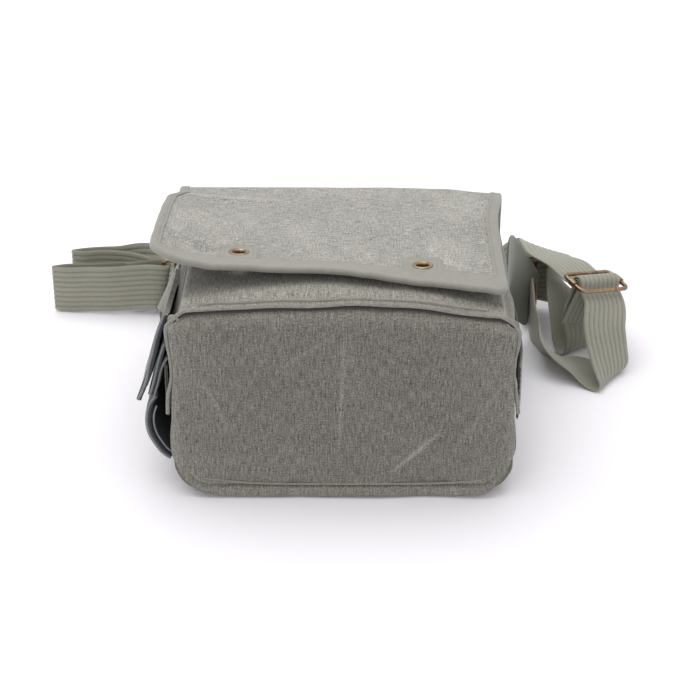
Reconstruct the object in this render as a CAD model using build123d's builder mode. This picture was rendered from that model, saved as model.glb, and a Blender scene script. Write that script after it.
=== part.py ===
"""Small canvas camera bag lying on its back: padded case, lid, pockets, webbing strap and brass fittings.

Frame: the origin is the middle of the back panel's outer face. +X runs across the bag, +Y from its
base to its mouth, +Z from its back to its front. Millimetres.
"""

import os
from math import hypot, sqrt

from build123d import *

# Case
bag_width = 220.0  # across the side panels
bag_height = 190.0  # base to mouth
case_depth = 124.0  # back to front at the side panels, without the front pocket
swell = 12.0  # how far the front stands out in the middle
base_swell = 6.0  # how far the base stands out between its seams
base_rounding = 5.5  # along the edges of the swollen base
belly_taper = 45.0  # degrees, of the floor board's edges towards the base
lean = 10.0  # how much shallower the bag is at its mouth
canvas = 2.0  # two layers of washed canvas
back_corner = 22.0  # rounding along the back edges
front_corner = 8.0  # rounding along the front edges
cloth_gap = 0.3  # between soft pieces that only lie together

# Padding
foam = 8.0
pad_below_mouth = 7.0
divider_height = 150.0
divider_places = (-33.0, 40.0)  # across the bag
divider_travel = 15.0
hook_tape = 1.0
hook_tape_width = 20.0

# Front pocket
pocket_depth = 9.0  # front panel's outer face to the pocket's outer face
pocket_height = 125.0
pocket_width = 196.0
piping = 3.0
seam_depth = 1.0  # of the groove that holds the back piping

# Lid
lid_width = 224.0
lid_length = 168.0  # fold to free edge
lid_canvas = 2.0
lid_lining = 1.0
lid_hinge_height = 3.0  # above the back panel's outer face
lid_room = 3.5  # lid's underside below the swell of the front, at the mouth
lid_rise = 0.10  # the lid's underside climbs this much per millimetre towards its free edge
binding = 0.8
binding_side = 8.0
binding_free = 15.0
eyelet_spacing = 122.0
eyelet_inset = 25.0  # free edge to eyelet centre
eyelet_hole = 8.4
eyelet_flange = 12.6
eyelet_barrel = 0.7  # wall of the barrel
flange_height = 0.8
patch = 32.0

# Webbing, rings and slider
webbing_width = 38.0
webbing = 1.8
wire = 3.0
ring_play = 2.0  # ring's inner length over the webbing's width
ring_span = 11.0  # between the centres of the ring's two long bars
fixed_loop = 0.4  # side webbing round the ring's inner bar
loose_loop = 2.7  # strap round the ring's outer bar, room for the ring to swing
sewn_leg = 22.0
slider_length = 47.0
slider_span = 23.0  # between the centres of the slider's two long bars
slider_bar_wire = 2.6
collar_length = 5.0
running = 0.1  # collar on the slider's wire

# Side pocket
side_pocket_height = 110.0
side_pocket_bulge = 16.0
pouch_fullest = 0.42  # share of the case's depth where the side pocket bulges most
pouch_end = 0.57  # share of the case's depth where its wall ends at the mouth
mouth_bulge = 0.75  # share of the bulge left at the mouth
lip_start = 0.84  # share of the case's depth where the lip is sewn on
lip_bulge = 0.5  # share of the bulge that the lip's edge stands out
lip_gap = 0.4  # mouth between wall and lip, as a share of the bulge
side_pocket_cloth = 1.8
side_flap_height = 95.0
side_flap_cloth = 2.4
side_flap_fall = 56.0  # from its seam towards the back
side_flap_spring = 18.0  # how far its free edge stands off the side
pocket_above_base = 7.0
gusset_inset = 14.0

# Worked out from the sizes above
side = bag_width / 2
board_half = side - back_corner
base = -bag_height / 2
base_face = base - base_swell
mouth = bag_height / 2
wall_base = base + canvas  # walls stand on the base panel
wall_height = bag_height - canvas
lean_slope = lean / bag_height
lean_way = Vector(0, 1, -lean_slope)
lean_length = hypot(1, lean_slope)
front_radius = (side**2 + swell**2) / (2 * swell)
front_middle = case_depth + swell - front_radius  # height of the front curve's centre
back_board_front = canvas + cloth_gap + foam
side_board_outer = side - canvas - cloth_gap
side_board_inner = side_board_outer - foam
floor_width = 2 * (side_board_inner - cloth_gap)
floor_back = back_board_front + cloth_gap
upright = Vector(0, 1, 0)


def front_height(offset, x):
    """Height of the curve that lies offset outside the front panel, at x."""
    return front_middle + sqrt((front_radius + offset) ** 2 - x**2)


class SwollenStrip(BaseSketchObject):
    """Strip between two curves of the swollen front, cut off at plus and minus half_width."""

    def __init__(self, half_width, inner, outer, mode=Mode.ADD):
        with BuildSketch() as strip:
            with BuildLine():
                for offset in (inner, outer):
                    ends = front_height(offset, half_width)
                    ThreePointArc((-half_width, ends), (0, front_height(offset, 0)), (half_width, ends))
                for x in (-half_width, half_width):
                    Line((x, front_height(inner, x)), (x, front_height(outer, x)))
            make_face()
        super().__init__(obj=strip.sketch, mode=mode)


class CaseOutline(BaseSketchObject):
    """The case seen from its base: round back corners, straight sides and a swollen front."""

    def __init__(self, inset, front_offset, mode=Mode.ADD):
        half = side - inset
        back_round = back_corner - inset
        front_round = front_corner - inset
        front_edge = front_height(front_offset, half)
        with BuildSketch() as outline:
            with BuildLine():
                Line((-half + back_round, inset), (half - back_round, inset))
                RadiusArc((half - back_round, inset), (half, inset + back_round), -back_round)
                Line((half, inset + back_round), (half, front_edge))
                ThreePointArc((half, front_edge), (0, front_height(front_offset, 0)), (-half, front_edge))
                Line((-half, front_edge), (-half, inset + back_round))
                RadiusArc((-half, inset + back_round), (-half + back_round, inset), -back_round)
            make_face()
            fillet(outline.vertices().group_by(Axis.Y)[-1], radius=front_round)
        super().__init__(obj=outline.sketch, mode=mode)


class BackSeam(BaseSketchObject):
    """Strip of the base, beside its back edge, that the back piping fills level with the base."""

    def __init__(self):
        with BuildSketch() as strip:
            with Locations((0, base_rounding + canvas)):
                Rectangle(2 * board_half, piping, align=(Align.CENTER, Align.MIN))
        super().__init__(obj=strip.sketch)


floor_front = front_height(-canvas - foam, side_board_inner) - foam


class FloorOutline(BaseSketchObject):
    """Outline of the foam board on the base, between the boards of the four walls."""

    def __init__(self):
        with BuildSketch() as board:
            with Locations((0, floor_back)):
                Rectangle(floor_width, floor_front - floor_back, align=(Align.CENTER, Align.MIN))
        super().__init__(obj=board.sketch)


def at_height(y):
    """Sketch plane across the bag at y, with its own Y pointing to the front."""
    return Plane.XZ.offset(-y)


os.makedirs("parts", exist_ok=True)


def save(part, label):
    """Label a finished piece and write its file."""
    part.label = label
    export_step(part, f"parts/{label}.step")


# Base panel, swollen by the floor board. Its front edge also closes the front pocket
with BuildPart() as bottom_panel:
    with BuildSketch(at_height(base_face)):
        CaseOutline(0, pocket_depth)
    extrude(amount=base_swell + canvas, dir=upright)
    fillet(bottom_panel.faces().sort_by(Axis.Y)[0].edges(), radius=base_rounding)
    with BuildSketch(at_height(base_face)):
        BackSeam()
    extrude(amount=seam_depth, dir=upright, mode=Mode.SUBTRACT)
    with BuildSketch(at_height(wall_base)):
        FloorOutline()
    extrude(amount=base_swell, taper=belly_taper, mode=Mode.SUBTRACT)
save(bottom_panel.part, "bottom_panel")

# Back panel with both rounded back edges
side_foot = back_corner
with BuildPart() as back_panel:
    with BuildSketch(at_height(wall_base)):
        CaseOutline(0, 0)
        CaseOutline(canvas, -canvas, mode=Mode.SUBTRACT)
        with Locations((0, side_foot)):
            Rectangle(bag_width, 2 * case_depth, align=(Align.CENTER, Align.MIN), mode=Mode.SUBTRACT)
    extrude(amount=wall_height, dir=upright)
save(back_panel.part, "back_panel")

# Side panels, tapering towards the mouth as the front leans back
side_head = front_height(0, side) - front_corner - canvas
for x, label in ((-side, "side_panel_left"), (side - canvas, "side_panel_right")):
    with BuildPart() as side_panel:
        with BuildSketch(Plane.YZ.offset(x)):
            Polygon(
                (wall_base, side_foot),
                (mouth, side_foot),
                (mouth, side_head - lean_slope * wall_height),
                (wall_base, side_head),
                align=None,
            )
        extrude(amount=canvas)
    save(side_panel.part, label)

# Front panel with both rounded front edges, leaning back towards the mouth
with BuildPart() as front_panel:
    with BuildSketch(at_height(wall_base)):
        CaseOutline(0, 0)
        CaseOutline(canvas, -canvas, mode=Mode.SUBTRACT)
        with Locations((0, side_head)):
            Rectangle(bag_width, 2 * case_depth, align=(Align.CENTER, Align.MAX), mode=Mode.SUBTRACT)
    extrude(amount=wall_height * lean_length, dir=lean_way)
save(front_panel.part, "front_panel")

# Foam boards
board_height = wall_height - pad_below_mouth
with BuildPart() as pad_back:
    with BuildSketch(at_height(wall_base)):
        with Locations((0, canvas + cloth_gap)):
            Rectangle(2 * board_half, foam, align=(Align.CENTER, Align.MIN))
    extrude(amount=board_height, dir=upright)
save(pad_back.part, "pad_back")

with BuildPart() as pad_front:
    with BuildSketch(at_height(wall_base)):
        SwollenStrip(board_half, -canvas - cloth_gap - foam, -canvas - cloth_gap)
    extrude(amount=board_height * lean_length, dir=lean_way)
save(pad_front.part, "pad_front")

side_board_head = side_head - foam / 2
for x, label in ((-side_board_outer, "pad_left"), (side_board_inner, "pad_right")):
    with BuildPart() as pad_side:
        with BuildSketch(Plane.YZ.offset(x)):
            Polygon(
                (wall_base, side_foot),
                (wall_base + board_height, side_foot),
                (wall_base + board_height, side_board_head - lean_slope * board_height),
                (wall_base, side_board_head),
                align=None,
            )
        extrude(amount=foam)
    save(pad_side.part, label)

floor_top = wall_base + foam
with BuildPart() as pad_bottom:
    with BuildSketch(at_height(wall_base)):
        FloorOutline()
    extrude(amount=foam, dir=upright)
    with BuildSketch(at_height(wall_base)):
        FloorOutline()
    extrude(amount=base_swell, taper=belly_taper)
save(pad_bottom.part, "pad_bottom")

# Padded dividers, each held to the front and back boards by strips of hook tape
divider_foot = floor_top + cloth_gap
divider_back = floor_back + hook_tape
for place, name in zip(divider_places, ("left", "right")):
    reach = abs(place) + divider_travel + foam / 2
    divider_front = front_height(-canvas - cloth_gap - foam, reach) - cloth_gap - hook_tape
    foot_front = divider_front - lean_slope * (divider_foot - wall_base)
    head_front = foot_front - lean_slope * divider_height
    with BuildPart() as divider:
        with BuildSketch(Plane.YZ.offset(place - foam / 2)):
            Polygon(
                (divider_foot, divider_back),
                (divider_foot + divider_height, divider_back),
                (divider_foot + divider_height, head_front),
                (divider_foot, foot_front),
                align=None,
            )
        extrude(amount=foam)
    save(divider.part, f"divider_{name}")

    tape_foot = divider_foot + hook_tape_width
    with BuildPart() as divider_tapes:
        with BuildSketch(Plane.YZ.offset(place - foam / 2)):
            for start in (tape_foot, tape_foot + 3 * hook_tape_width):
                end = start + 2 * hook_tape_width
                front_start = foot_front - lean_slope * (start - divider_foot)
                front_end = foot_front - lean_slope * (end - divider_foot)
                Polygon(
                    (start, divider_back - hook_tape),
                    (end, divider_back - hook_tape),
                    (end, divider_back),
                    (start, divider_back),
                    align=None,
                )
                Polygon(
                    (start, front_start),
                    (end, front_end),
                    (end, front_end + hook_tape),
                    (start, front_start + hook_tape),
                    align=None,
                )
        extrude(amount=foam)
    save(divider_tapes.part, f"divider_tapes_{name}")

# Front pocket: a swollen outer wall with a turned-back edge each side, open at its top
pocket_half = pocket_width / 2
with BuildPart() as front_pocket:
    with BuildSketch(at_height(wall_base)):
        SwollenStrip(pocket_half, 0, pocket_depth)
        SwollenStrip(pocket_half - canvas, 0, pocket_depth - canvas, mode=Mode.SUBTRACT)
    extrude(amount=pocket_height * lean_length, dir=lean_way)
save(front_pocket.part, "front_pocket")

# Piping sewn into the seams along the base's front and back edges
with BuildPart() as base_piping_front:
    with BuildSketch(at_height(wall_base)):
        SwollenStrip(pocket_half, pocket_depth, pocket_depth + canvas / 2)
    extrude(amount=piping * lean_length, dir=lean_way)
save(base_piping_front.part, "base_piping_front")

with BuildPart() as base_piping_back:
    with BuildSketch(at_height(base_face)):
        BackSeam()
    extrude(amount=seam_depth, dir=upright)
save(base_piping_back.part, "base_piping_back")

# Lid: the top stands across the mouth, the front folds over towards the base
lid_half = lid_width / 2
lining_foot = mouth + cloth_gap
lid_foot = lining_foot + lid_lining
lid_outer = lid_foot + lid_canvas
lid_under = -lid_room  # offset of the lid's underside from the front curve, at the fold
lid_top_edge = lid_under - cloth_gap
for start, thickness, label in (
    (lining_foot, lid_lining, "lid_lining_top"),
    (lid_foot, lid_canvas, "lid_top"),
):
    with BuildPart() as lid_layer:
        with BuildSketch(at_height(start)):
            SwollenStrip(lid_half, lid_hinge_height - front_middle - front_radius, lid_top_edge)
            with Locations((0, lid_hinge_height)):
                Rectangle(lid_width, case_depth, align=(Align.CENTER, Align.MAX), mode=Mode.SUBTRACT)
            with Locations((0, lid_hinge_height)):
                Rectangle(lid_width, case_depth / 2, align=(Align.CENTER, Align.MIN))
        extrude(amount=thickness, dir=upright)
    save(lid_layer.part, label)

lid_way = Vector(0, -1, lid_rise)
lid_reach = hypot(1, lid_rise)
eyelet_y = lid_outer - lid_length + eyelet_inset
canvas_over = lid_under + lid_lining
lid_over = canvas_over + lid_canvas


def lid_point(x):
    """Plane on the lid front's upper face at an eyelet, facing out of the lid."""
    height = front_height(lid_over, x) + lid_rise * (lid_outer - eyelet_y)
    out = Vector(x / (front_radius + lid_over), lid_rise, 1)
    return Plane(origin=(x, eyelet_y, height), x_dir=(1, 0, -x / front_radius), z_dir=out)


eyelet_places = (-eyelet_spacing / 2, eyelet_spacing / 2)
barrel_radius = eyelet_hole / 2 + eyelet_barrel
for inner, outer, label in (
    (lid_under, canvas_over, "lid_lining_front"),
    (canvas_over, lid_over, "lid_front"),
):
    with BuildPart() as lid_layer:
        with BuildSketch(at_height(lid_outer)):
            SwollenStrip(lid_half, inner, outer)
        extrude(amount=lid_length * lid_reach, dir=lid_way)
        for x in eyelet_places:
            with BuildSketch(lid_point(x)):
                Circle(barrel_radius)
            extrude(amount=2 * lid_canvas, both=True, mode=Mode.SUBTRACT)
    save(lid_layer.part, label)

# Twill binding folded round the lid's edges, and sewn squares that back the eyelets
with BuildPart() as lid_binding_front:
    with BuildSketch(at_height(lid_outer)):
        SwollenStrip(lid_half, lid_over, lid_over + binding)
    extrude(amount=lid_length * lid_reach, dir=lid_way)
    with BuildSketch(at_height(lid_outer)):
        SwollenStrip(lid_half - binding_side, lid_over - binding, lid_over + 2 * binding)
    extrude(amount=(lid_length - binding_free) * lid_reach, dir=lid_way, mode=Mode.SUBTRACT)
save(lid_binding_front.part, "lid_binding_front")

top_edge_height = front_height(lid_top_edge, lid_half)
with BuildPart() as lid_binding_top:
    with BuildSketch(at_height(lid_outer)):
        for x, align in ((-lid_half, Align.MIN), (lid_half, Align.MAX)):
            with Locations((x, lid_hinge_height)):
                Rectangle(binding_side, top_edge_height - lid_hinge_height, align=(align, Align.MIN))
    extrude(amount=binding, dir=upright)
save(lid_binding_top.part, "lid_binding_top")

with BuildPart() as eyelet_patches:
    with BuildSketch(at_height(lid_outer)):
        SwollenStrip(lid_half, lid_over, lid_over + binding / 2)
    extrude(amount=(lid_length - binding_free - cloth_gap) * lid_reach, dir=lid_way)
    for x in eyelet_places:
        with BuildSketch(lid_point(x)):
            Circle(barrel_radius)
        extrude(amount=2 * lid_canvas, both=True, mode=Mode.SUBTRACT)
    with BuildSketch(Plane.XY) as patch_places:
        for x in eyelet_places:
            with Locations((x, eyelet_y)):
                Rectangle(patch, patch)
    extrude(amount=2 * case_depth, mode=Mode.INTERSECT)
save(eyelet_patches.part, "eyelet_patches")

# Brass eyelets: a barrel through the lid, a flange on top and a washer below
for x, label in zip(eyelet_places, ("eyelet_left", "eyelet_right")):
    face = lid_point(x)
    above = face.offset(binding / 2 + cloth_gap)
    below = face.offset(-lid_canvas - lid_lining - cloth_gap)
    with BuildPart() as eyelet:
        with BuildSketch(above):
            Circle(eyelet_flange / 2)
            Circle(eyelet_hole / 2, mode=Mode.SUBTRACT)
        extrude(amount=flange_height)
        with BuildSketch(below):
            Circle(eyelet_flange / 2)
            Circle(eyelet_hole / 2, mode=Mode.SUBTRACT)
        extrude(amount=-flange_height)
        with BuildSketch(below):
            Circle(barrel_radius - cloth_gap / 2)
            Circle(eyelet_hole / 2, mode=Mode.SUBTRACT)
        extrude(amount=lid_canvas + lid_lining + binding / 2 + 2 * cloth_gap)
    save(eyelet.part, label)

# Side pocket on the left: a bulging pouch whose mouth opens towards the front, under a lip and a flap
pouch_foot = base + pocket_above_base
pouch_side = -side - cloth_gap
webbing_side = pouch_side - webbing - cloth_gap
pouch_back = (pouch_side - side_pocket_cloth, side_foot + canvas)
pouch_middle = (pouch_side - side_pocket_bulge, pouch_fullest * case_depth)
pouch_mouth = (pouch_side - mouth_bulge * side_pocket_bulge, pouch_end * case_depth)
with BuildPart() as side_pocket:
    with BuildSketch(at_height(pouch_foot)):
        with BuildLine():
            outer_wall = ThreePointArc(pouch_back, pouch_middle, pouch_mouth)
            offset(outer_wall, amount=side_pocket_cloth, side=Side.RIGHT, closed=True)
        make_face()
    extrude(amount=side_pocket_height, dir=upright)
    for y in (gusset_inset, side_pocket_height - gusset_inset):
        with BuildSketch(at_height(pouch_foot + y)):
            with BuildLine():
                ThreePointArc(pouch_back, pouch_middle, pouch_mouth)
                Polyline(pouch_mouth, (pouch_side, pouch_mouth[1]), pouch_back)
            make_face()
            with Locations((webbing_side, case_depth / 2)):
                Rectangle(side_pocket_bulge, case_depth, align=(Align.MIN, Align.CENTER), mode=Mode.SUBTRACT)
        extrude(amount=side_pocket_cloth, dir=upright)
save(side_pocket.part, "side_pocket")

flap_seam = (webbing_side, side_head)
flap_edge = (pouch_side - side_flap_spring, side_head - side_flap_fall)
lip_seam = (webbing_side, lip_start * case_depth)
lip_edge = (pouch_side - lip_bulge * side_pocket_bulge, pouch_mouth[1] + lip_gap * side_pocket_bulge)
for seam, edge, cloth, height, label in (
    (lip_seam, lip_edge, side_pocket_cloth, side_flap_height, "side_pocket_lip"),
    (flap_seam, flap_edge, side_flap_cloth, side_flap_height, "side_pocket_flap"),
):
    with BuildPart() as leaf:
        with BuildSketch(at_height(pouch_foot)):
            with BuildLine():
                fall = Line(seam, edge)
                offset(fall, amount=cloth, side=Side.RIGHT, closed=True)
            make_face()
        extrude(amount=height * lean_length, dir=lean_way)
    save(leaf.part, label)

# Rings: each lies in a plane whose X points away from the bag and whose Z runs along its long bars
ring_half = (webbing_width + ring_play + wire) / 2
ring_height = ring_half + wire / 2
left_centre = (-side - 24.5, mouth + 48, ring_height + 0.5)
right_centre = (side + 30, mouth + 47, ring_height + 3)
left_ring = Plane(origin=left_centre, x_dir=(-0.98, 0, 0.2), z_dir=(0.2, 0, 0.98))
right_ring = Plane(origin=right_centre, x_dir=(1, 0, 0), z_dir=(0, -0.08, 1))


def wire_frame(plane, across, along, corner):
    """Closed loop of round wire in the plane's X and Z, given between the bars' centres."""
    flat = Plane(origin=plane.origin, x_dir=plane.x_dir, z_dir=plane.y_dir * -1)
    corners = ((-across, -along), (across, -along), (across, along), (-across, along))
    with BuildPart() as frame:
        with BuildLine(flat) as path:
            FilletPolyline(*((x / 2, y / 2) for x, y in corners), radius=corner, close=True)
        with BuildSketch(Plane(origin=path.line @ 0, z_dir=path.line % 0)):
            Circle(wire / 2)
        sweep(transition=Transition.RIGHT)
    return frame.part


for plane, label in ((left_ring, "ring_left"), (right_ring, "ring_right")):
    with BuildPart() as ring:
        add(wire_frame(plane, ring_span, 2 * ring_half, wire))
    save(ring.part, label)

# Slider: a wire frame and a middle bar whose collars turn on the frame's short sides
slider = Plane(origin=(side + 72, mouth - 14, 61), x_dir=(0.8, 0.52, -0.22), z_dir=(0.27, 0, 0.97))
slider_front = slider.y_dir * -1
with BuildPart() as slider_frame:
    upright_slider = Plane(origin=slider.origin, x_dir=slider.y_dir, z_dir=slider.x_dir)
    add(wire_frame(upright_slider, slider_span, slider_length - wire, 1.5 * wire))
save(slider_frame.part, "slider_frame")

collar_bore = wire / 2 + running
collar_outer = collar_bore + 1
with BuildPart() as slider_bar:
    with BuildSketch(Plane(origin=slider.origin, z_dir=slider.x_dir)):
        Circle(slider_bar_wire / 2)
    extrude(amount=(slider_length - wire) / 2, both=True)
    for end in (-0.5, 0.5):
        heart = slider.origin + slider.x_dir * end * (slider_length - wire)
        with BuildSketch(Plane(origin=heart, z_dir=slider.y_dir)):
            Circle(collar_outer)
        extrude(amount=collar_length / 2, both=True)
        with BuildSketch(Plane(origin=heart, z_dir=slider.y_dir)):
            Circle(collar_bore)
        extrude(amount=collar_length, both=True, mode=Mode.SUBTRACT)
save(slider_bar.part, "slider_bar")


# Webbing: flat runs lofted between stations, and short loops round the bars
class LoopOutline(BaseSketchObject):
    """Webbing seen edge-on, folded round a bar: a half turn towards +X and two legs towards -X."""

    def __init__(self, room, near_leg, far_leg, mode=Mode.ADD):
        outer = room + webbing
        with BuildSketch() as loop:
            Circle(outer)
            Circle(room, mode=Mode.SUBTRACT)
            with Locations((0, 0)):
                Rectangle(outer, 2 * outer, align=(Align.MAX, Align.CENTER), mode=Mode.SUBTRACT)
            for turn, leg in ((1, near_leg), (-1, far_leg)):
                if leg:
                    with Locations((0, turn * (room + webbing / 2))):
                        Rectangle(leg, webbing, align=(Align.MAX, Align.CENTER))
        super().__init__(obj=loop.sketch, mode=mode)


def resting(across):
    """Height of a webbing's centre line where its lower edge touches the ground."""
    return webbing_width / 2 * abs(across.Z) + webbing / 2 * sqrt(1 - across.Z**2) + cloth_gap / 3


def section_planes(stations, first=None, last=None):
    """One plane per station, its X along the webbing's width and its Z along the run."""
    points = [point for point, _ in stations]
    before = [first.origin if first else points[0]] + points[:-1]
    after = points[1:] + [last.origin if last else points[-1]]
    planes = []
    for (point, across), start, end in zip(stations, before, after):
        planes.append(Plane(origin=point, x_dir=across, z_dir=end - start))
    for index, plane in enumerate(planes):
        run = plane.z_dir
        across = stations[index][1]
        across = (across - run * across.dot(run)).normalized()
        sunk = max(resting(across) - plane.origin.Z, 0)
        planes[index] = Plane(origin=plane.origin + Vector(0, 0, sunk), x_dir=across, z_dir=run)
    return ([first] if first else []) + planes + ([last] if last else [])


def ribbon(planes):
    """Webbing lofted straight from each section plane to the next."""
    with BuildPart() as run:
        for start, end in zip(planes, planes[1:]):
            for plane in (start, end):
                with BuildSketch(plane):
                    Rectangle(webbing_width, webbing)
            loft(ruled=True)
    return run.part


def left(out, up, height, across=(0, 0, 1)):
    """Station out from the left side and up from the mouth; height None lies on the ground."""
    across = Vector(across).normalized()
    return Vector(-side - out, mouth + up, resting(across) if height is None else height), across


def right(out, up, height, across=(0, 0, 1)):
    """Station out from the right side and up from the mouth; height None lies on the ground."""
    across = Vector(across).normalized()
    return Vector(side + out, mouth + up, resting(across) if height is None else height), across


# Side webbing: sewn down the side, then out to its ring, round the inner bar and back on itself
webbing_face = webbing / 2 + cloth_gap
ring_room = wire / 2 + fixed_loop
bar_offset = ring_span / 2
side_runs = {
    "side_webbing_left": (
        left_ring,
        left_ring.y_dir * -1,
        1,
        [
            left(webbing_face, -175, 76),
            left(webbing_face, -63, 76),
            left(3.5, -45, 75, (0.05, 0.05, 1)),
            left(8, -15, 66, (0.1, 0.2, 1)),
            left(13, 8, 50, (0.15, 0.3, 1)),
        ],
    ),
    "side_webbing_right": (
        right_ring,
        right_ring.y_dir,
        -1,
        [
            right(webbing_face, -175, 78),
            right(webbing_face, -85, 78),
            right(4.5, -55, 80, (-0.1, 0.1, 1)),
            right(9, -20, 76, (-0.15, 0.3, 1)),
            right(16, 5, 62, (-0.1, 0.45, 0.9)),
        ],
    ),
}
for label, (ring_plane, run_way, outer_leg, stations) in side_runs.items():
    bar = ring_plane.origin - ring_plane.x_dir * bar_offset
    loop_plane = Plane(origin=bar, x_dir=run_way, z_dir=ring_plane.z_dir)
    leg_end = bar - run_way * sewn_leg + loop_plane.y_dir * outer_leg * (ring_room + webbing / 2)
    arrival = Plane(origin=leg_end, x_dir=ring_plane.z_dir, z_dir=run_way)
    with BuildPart() as side_webbing:
        with BuildSketch(loop_plane.offset(-webbing_width / 2)):
            LoopOutline(ring_room, sewn_leg, sewn_leg)
        extrude(amount=webbing_width)
        add(ribbon(section_planes(stations, last=arrival)))
    save(side_webbing.part, label)

# Strap, folded up on the left
strap_room = wire / 2 + loose_loop
strap_bar = left_ring.origin + left_ring.x_dir * bar_offset
strap_loop = Plane(origin=strap_bar, x_dir=left_ring.x_dir * -1, z_dir=left_ring.z_dir)
front_leg = 1 if strap_loop.y_dir.Y < 0 else -1
leg_side = strap_loop.y_dir * front_leg * (strap_room + webbing / 2)
leg_start = strap_bar + left_ring.x_dir * sewn_leg + leg_side
strap_start = Plane(origin=leg_start, x_dir=left_ring.z_dir, z_dir=left_ring.x_dir)
first_fold = left(112, 50.6, None)
second_fold = left(30, 61, None)
third_fold = left(99, 76.5, None)
outer_stations = [left(66, 44.5, 23.5), left(85, 47.5, None), left(104, 48.5, None), first_fold]
middle_stations = [
    first_fold,
    left(104, 52.8, None),
    left(80, 55, None),
    left(55, 57.5, None),
    left(36, 58.5, None),
    second_fold,
]
inner_stations = [
    second_fold,
    left(36, 63.5, None),
    left(45, 69, None),
    left(58, 74, None),
    left(76, 76, None),
    left(92, 74.5, None),
    third_fold,
]
twist_end = left(4, 85, None, (0, 1, 0))
twist_stations = [
    third_fold,
    left(92, 79, None),
    left(78, 81.5, None),
    left(62, 82.5, None),
    left(47, 83.5, None, (0, 0.3, 1)),
    left(33, 84.5, None, (0, 0.7, 0.75)),
    left(20, 85, None, (0, 0.93, 0.35)),
    twist_end,
]
rise_start = right(4, 90, None, (0, 1, 0))
back_stations = [
    twist_end,
    left(-70, 82, None, (0, 1, 0)),
    right(-70, 85, None, (0, 1, 0)),
    rise_start,
]


def fold_plane(station, way):
    """Section plane at a fold, where the webbing turns back along the given direction."""
    return Plane(origin=station[0], x_dir=station[1], z_dir=way)


back_turn = Vector(0, 1, 0)
with BuildPart() as strap_left_outer:
    with BuildSketch(strap_loop.offset(-webbing_width / 2)):
        LoopOutline(strap_room, sewn_leg, sewn_leg)
    extrude(amount=webbing_width)
    add(ribbon(section_planes(outer_stations[:-1], strap_start, fold_plane(first_fold, back_turn))))
save(strap_left_outer.part, "strap_left_outer")

with BuildPart() as strap_left_middle:
    start, end = fold_plane(first_fold, back_turn), fold_plane(second_fold, back_turn)
    add(ribbon(section_planes(middle_stations[1:-1], start, end)))
save(strap_left_middle.part, "strap_left_middle")

with BuildPart() as strap_left_inner:
    start, end = fold_plane(second_fold, back_turn), fold_plane(third_fold, back_turn)
    add(ribbon(section_planes(inner_stations[1:-1], start, end)))
save(strap_left_inner.part, "strap_left_inner")

across_back = Vector(1, 0, 0)
with BuildPart() as strap_left_twist:
    start, end = fold_plane(third_fold, back_turn), fold_plane(twist_end, across_back)
    add(ribbon(section_planes(twist_stations[1:-1], start, end)))
save(strap_left_twist.part, "strap_left_twist")

with BuildPart() as strap_back:
    start, end = fold_plane(twist_end, across_back), fold_plane(rise_start, across_back)
    add(ribbon(section_planes(back_stations[1:-1], start, end)))
save(strap_back.part, "strap_back")

# Strap, from behind the bag up to the slider and over its middle bar
inner_room = slider_bar_wire / 2 + fixed_loop
outer_room = inner_room + webbing + cloth_gap
roll_middle = outer_room + webbing / 2
bar_clear = wire / 2 + loose_loop + webbing / 2


def by_slider(front, over):
    """Point beside the slider's middle bar, towards its front bar and over its frame."""
    return slider.origin + slider_front * front + slider.z_dir * over


rise_stations = [
    right(16, 93, None, (0, 0.9, 0.4)),
    right(27, 94, None, (0, 0.5, 0.9)),
    right(36.5, 87, 25, (-0.15, -0.1, 1)),
    right(41, 72, 40, (-0.4, -0.45, 0.75)),
    right(42, 50, 54, (-0.65, -0.5, 0.5)),
    right(43.5, 31, 58.5, (-0.75, -0.5, 0.35)),
    (by_slider(-30, -5), slider.x_dir * -1),
    (by_slider(-slider_span / 2 - 3 * wire, -bar_clear), slider.x_dir * -1),
    (by_slider(-slider_span / 2 + wire / 2, -bar_clear), slider.x_dir * -1),
    (by_slider(-roll_middle - webbing / 2, -0.6 * bar_clear), slider.x_dir * -1),
]
roll_arrival = Plane(origin=by_slider(-roll_middle, 0), x_dir=slider.x_dir * -1, z_dir=slider.z_dir)
roll_plane = Plane(origin=slider.origin, x_dir=slider.z_dir, z_dir=slider.x_dir)
with BuildPart() as strap_rise:
    with BuildSketch(roll_plane.offset(-webbing_width / 2)):
        LoopOutline(outer_room, 0, 0)
    extrude(amount=webbing_width)
    add(ribbon(section_planes(rise_stations, fold_plane(rise_start, across_back), roll_arrival)))
save(strap_rise.part, "strap_rise")

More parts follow.
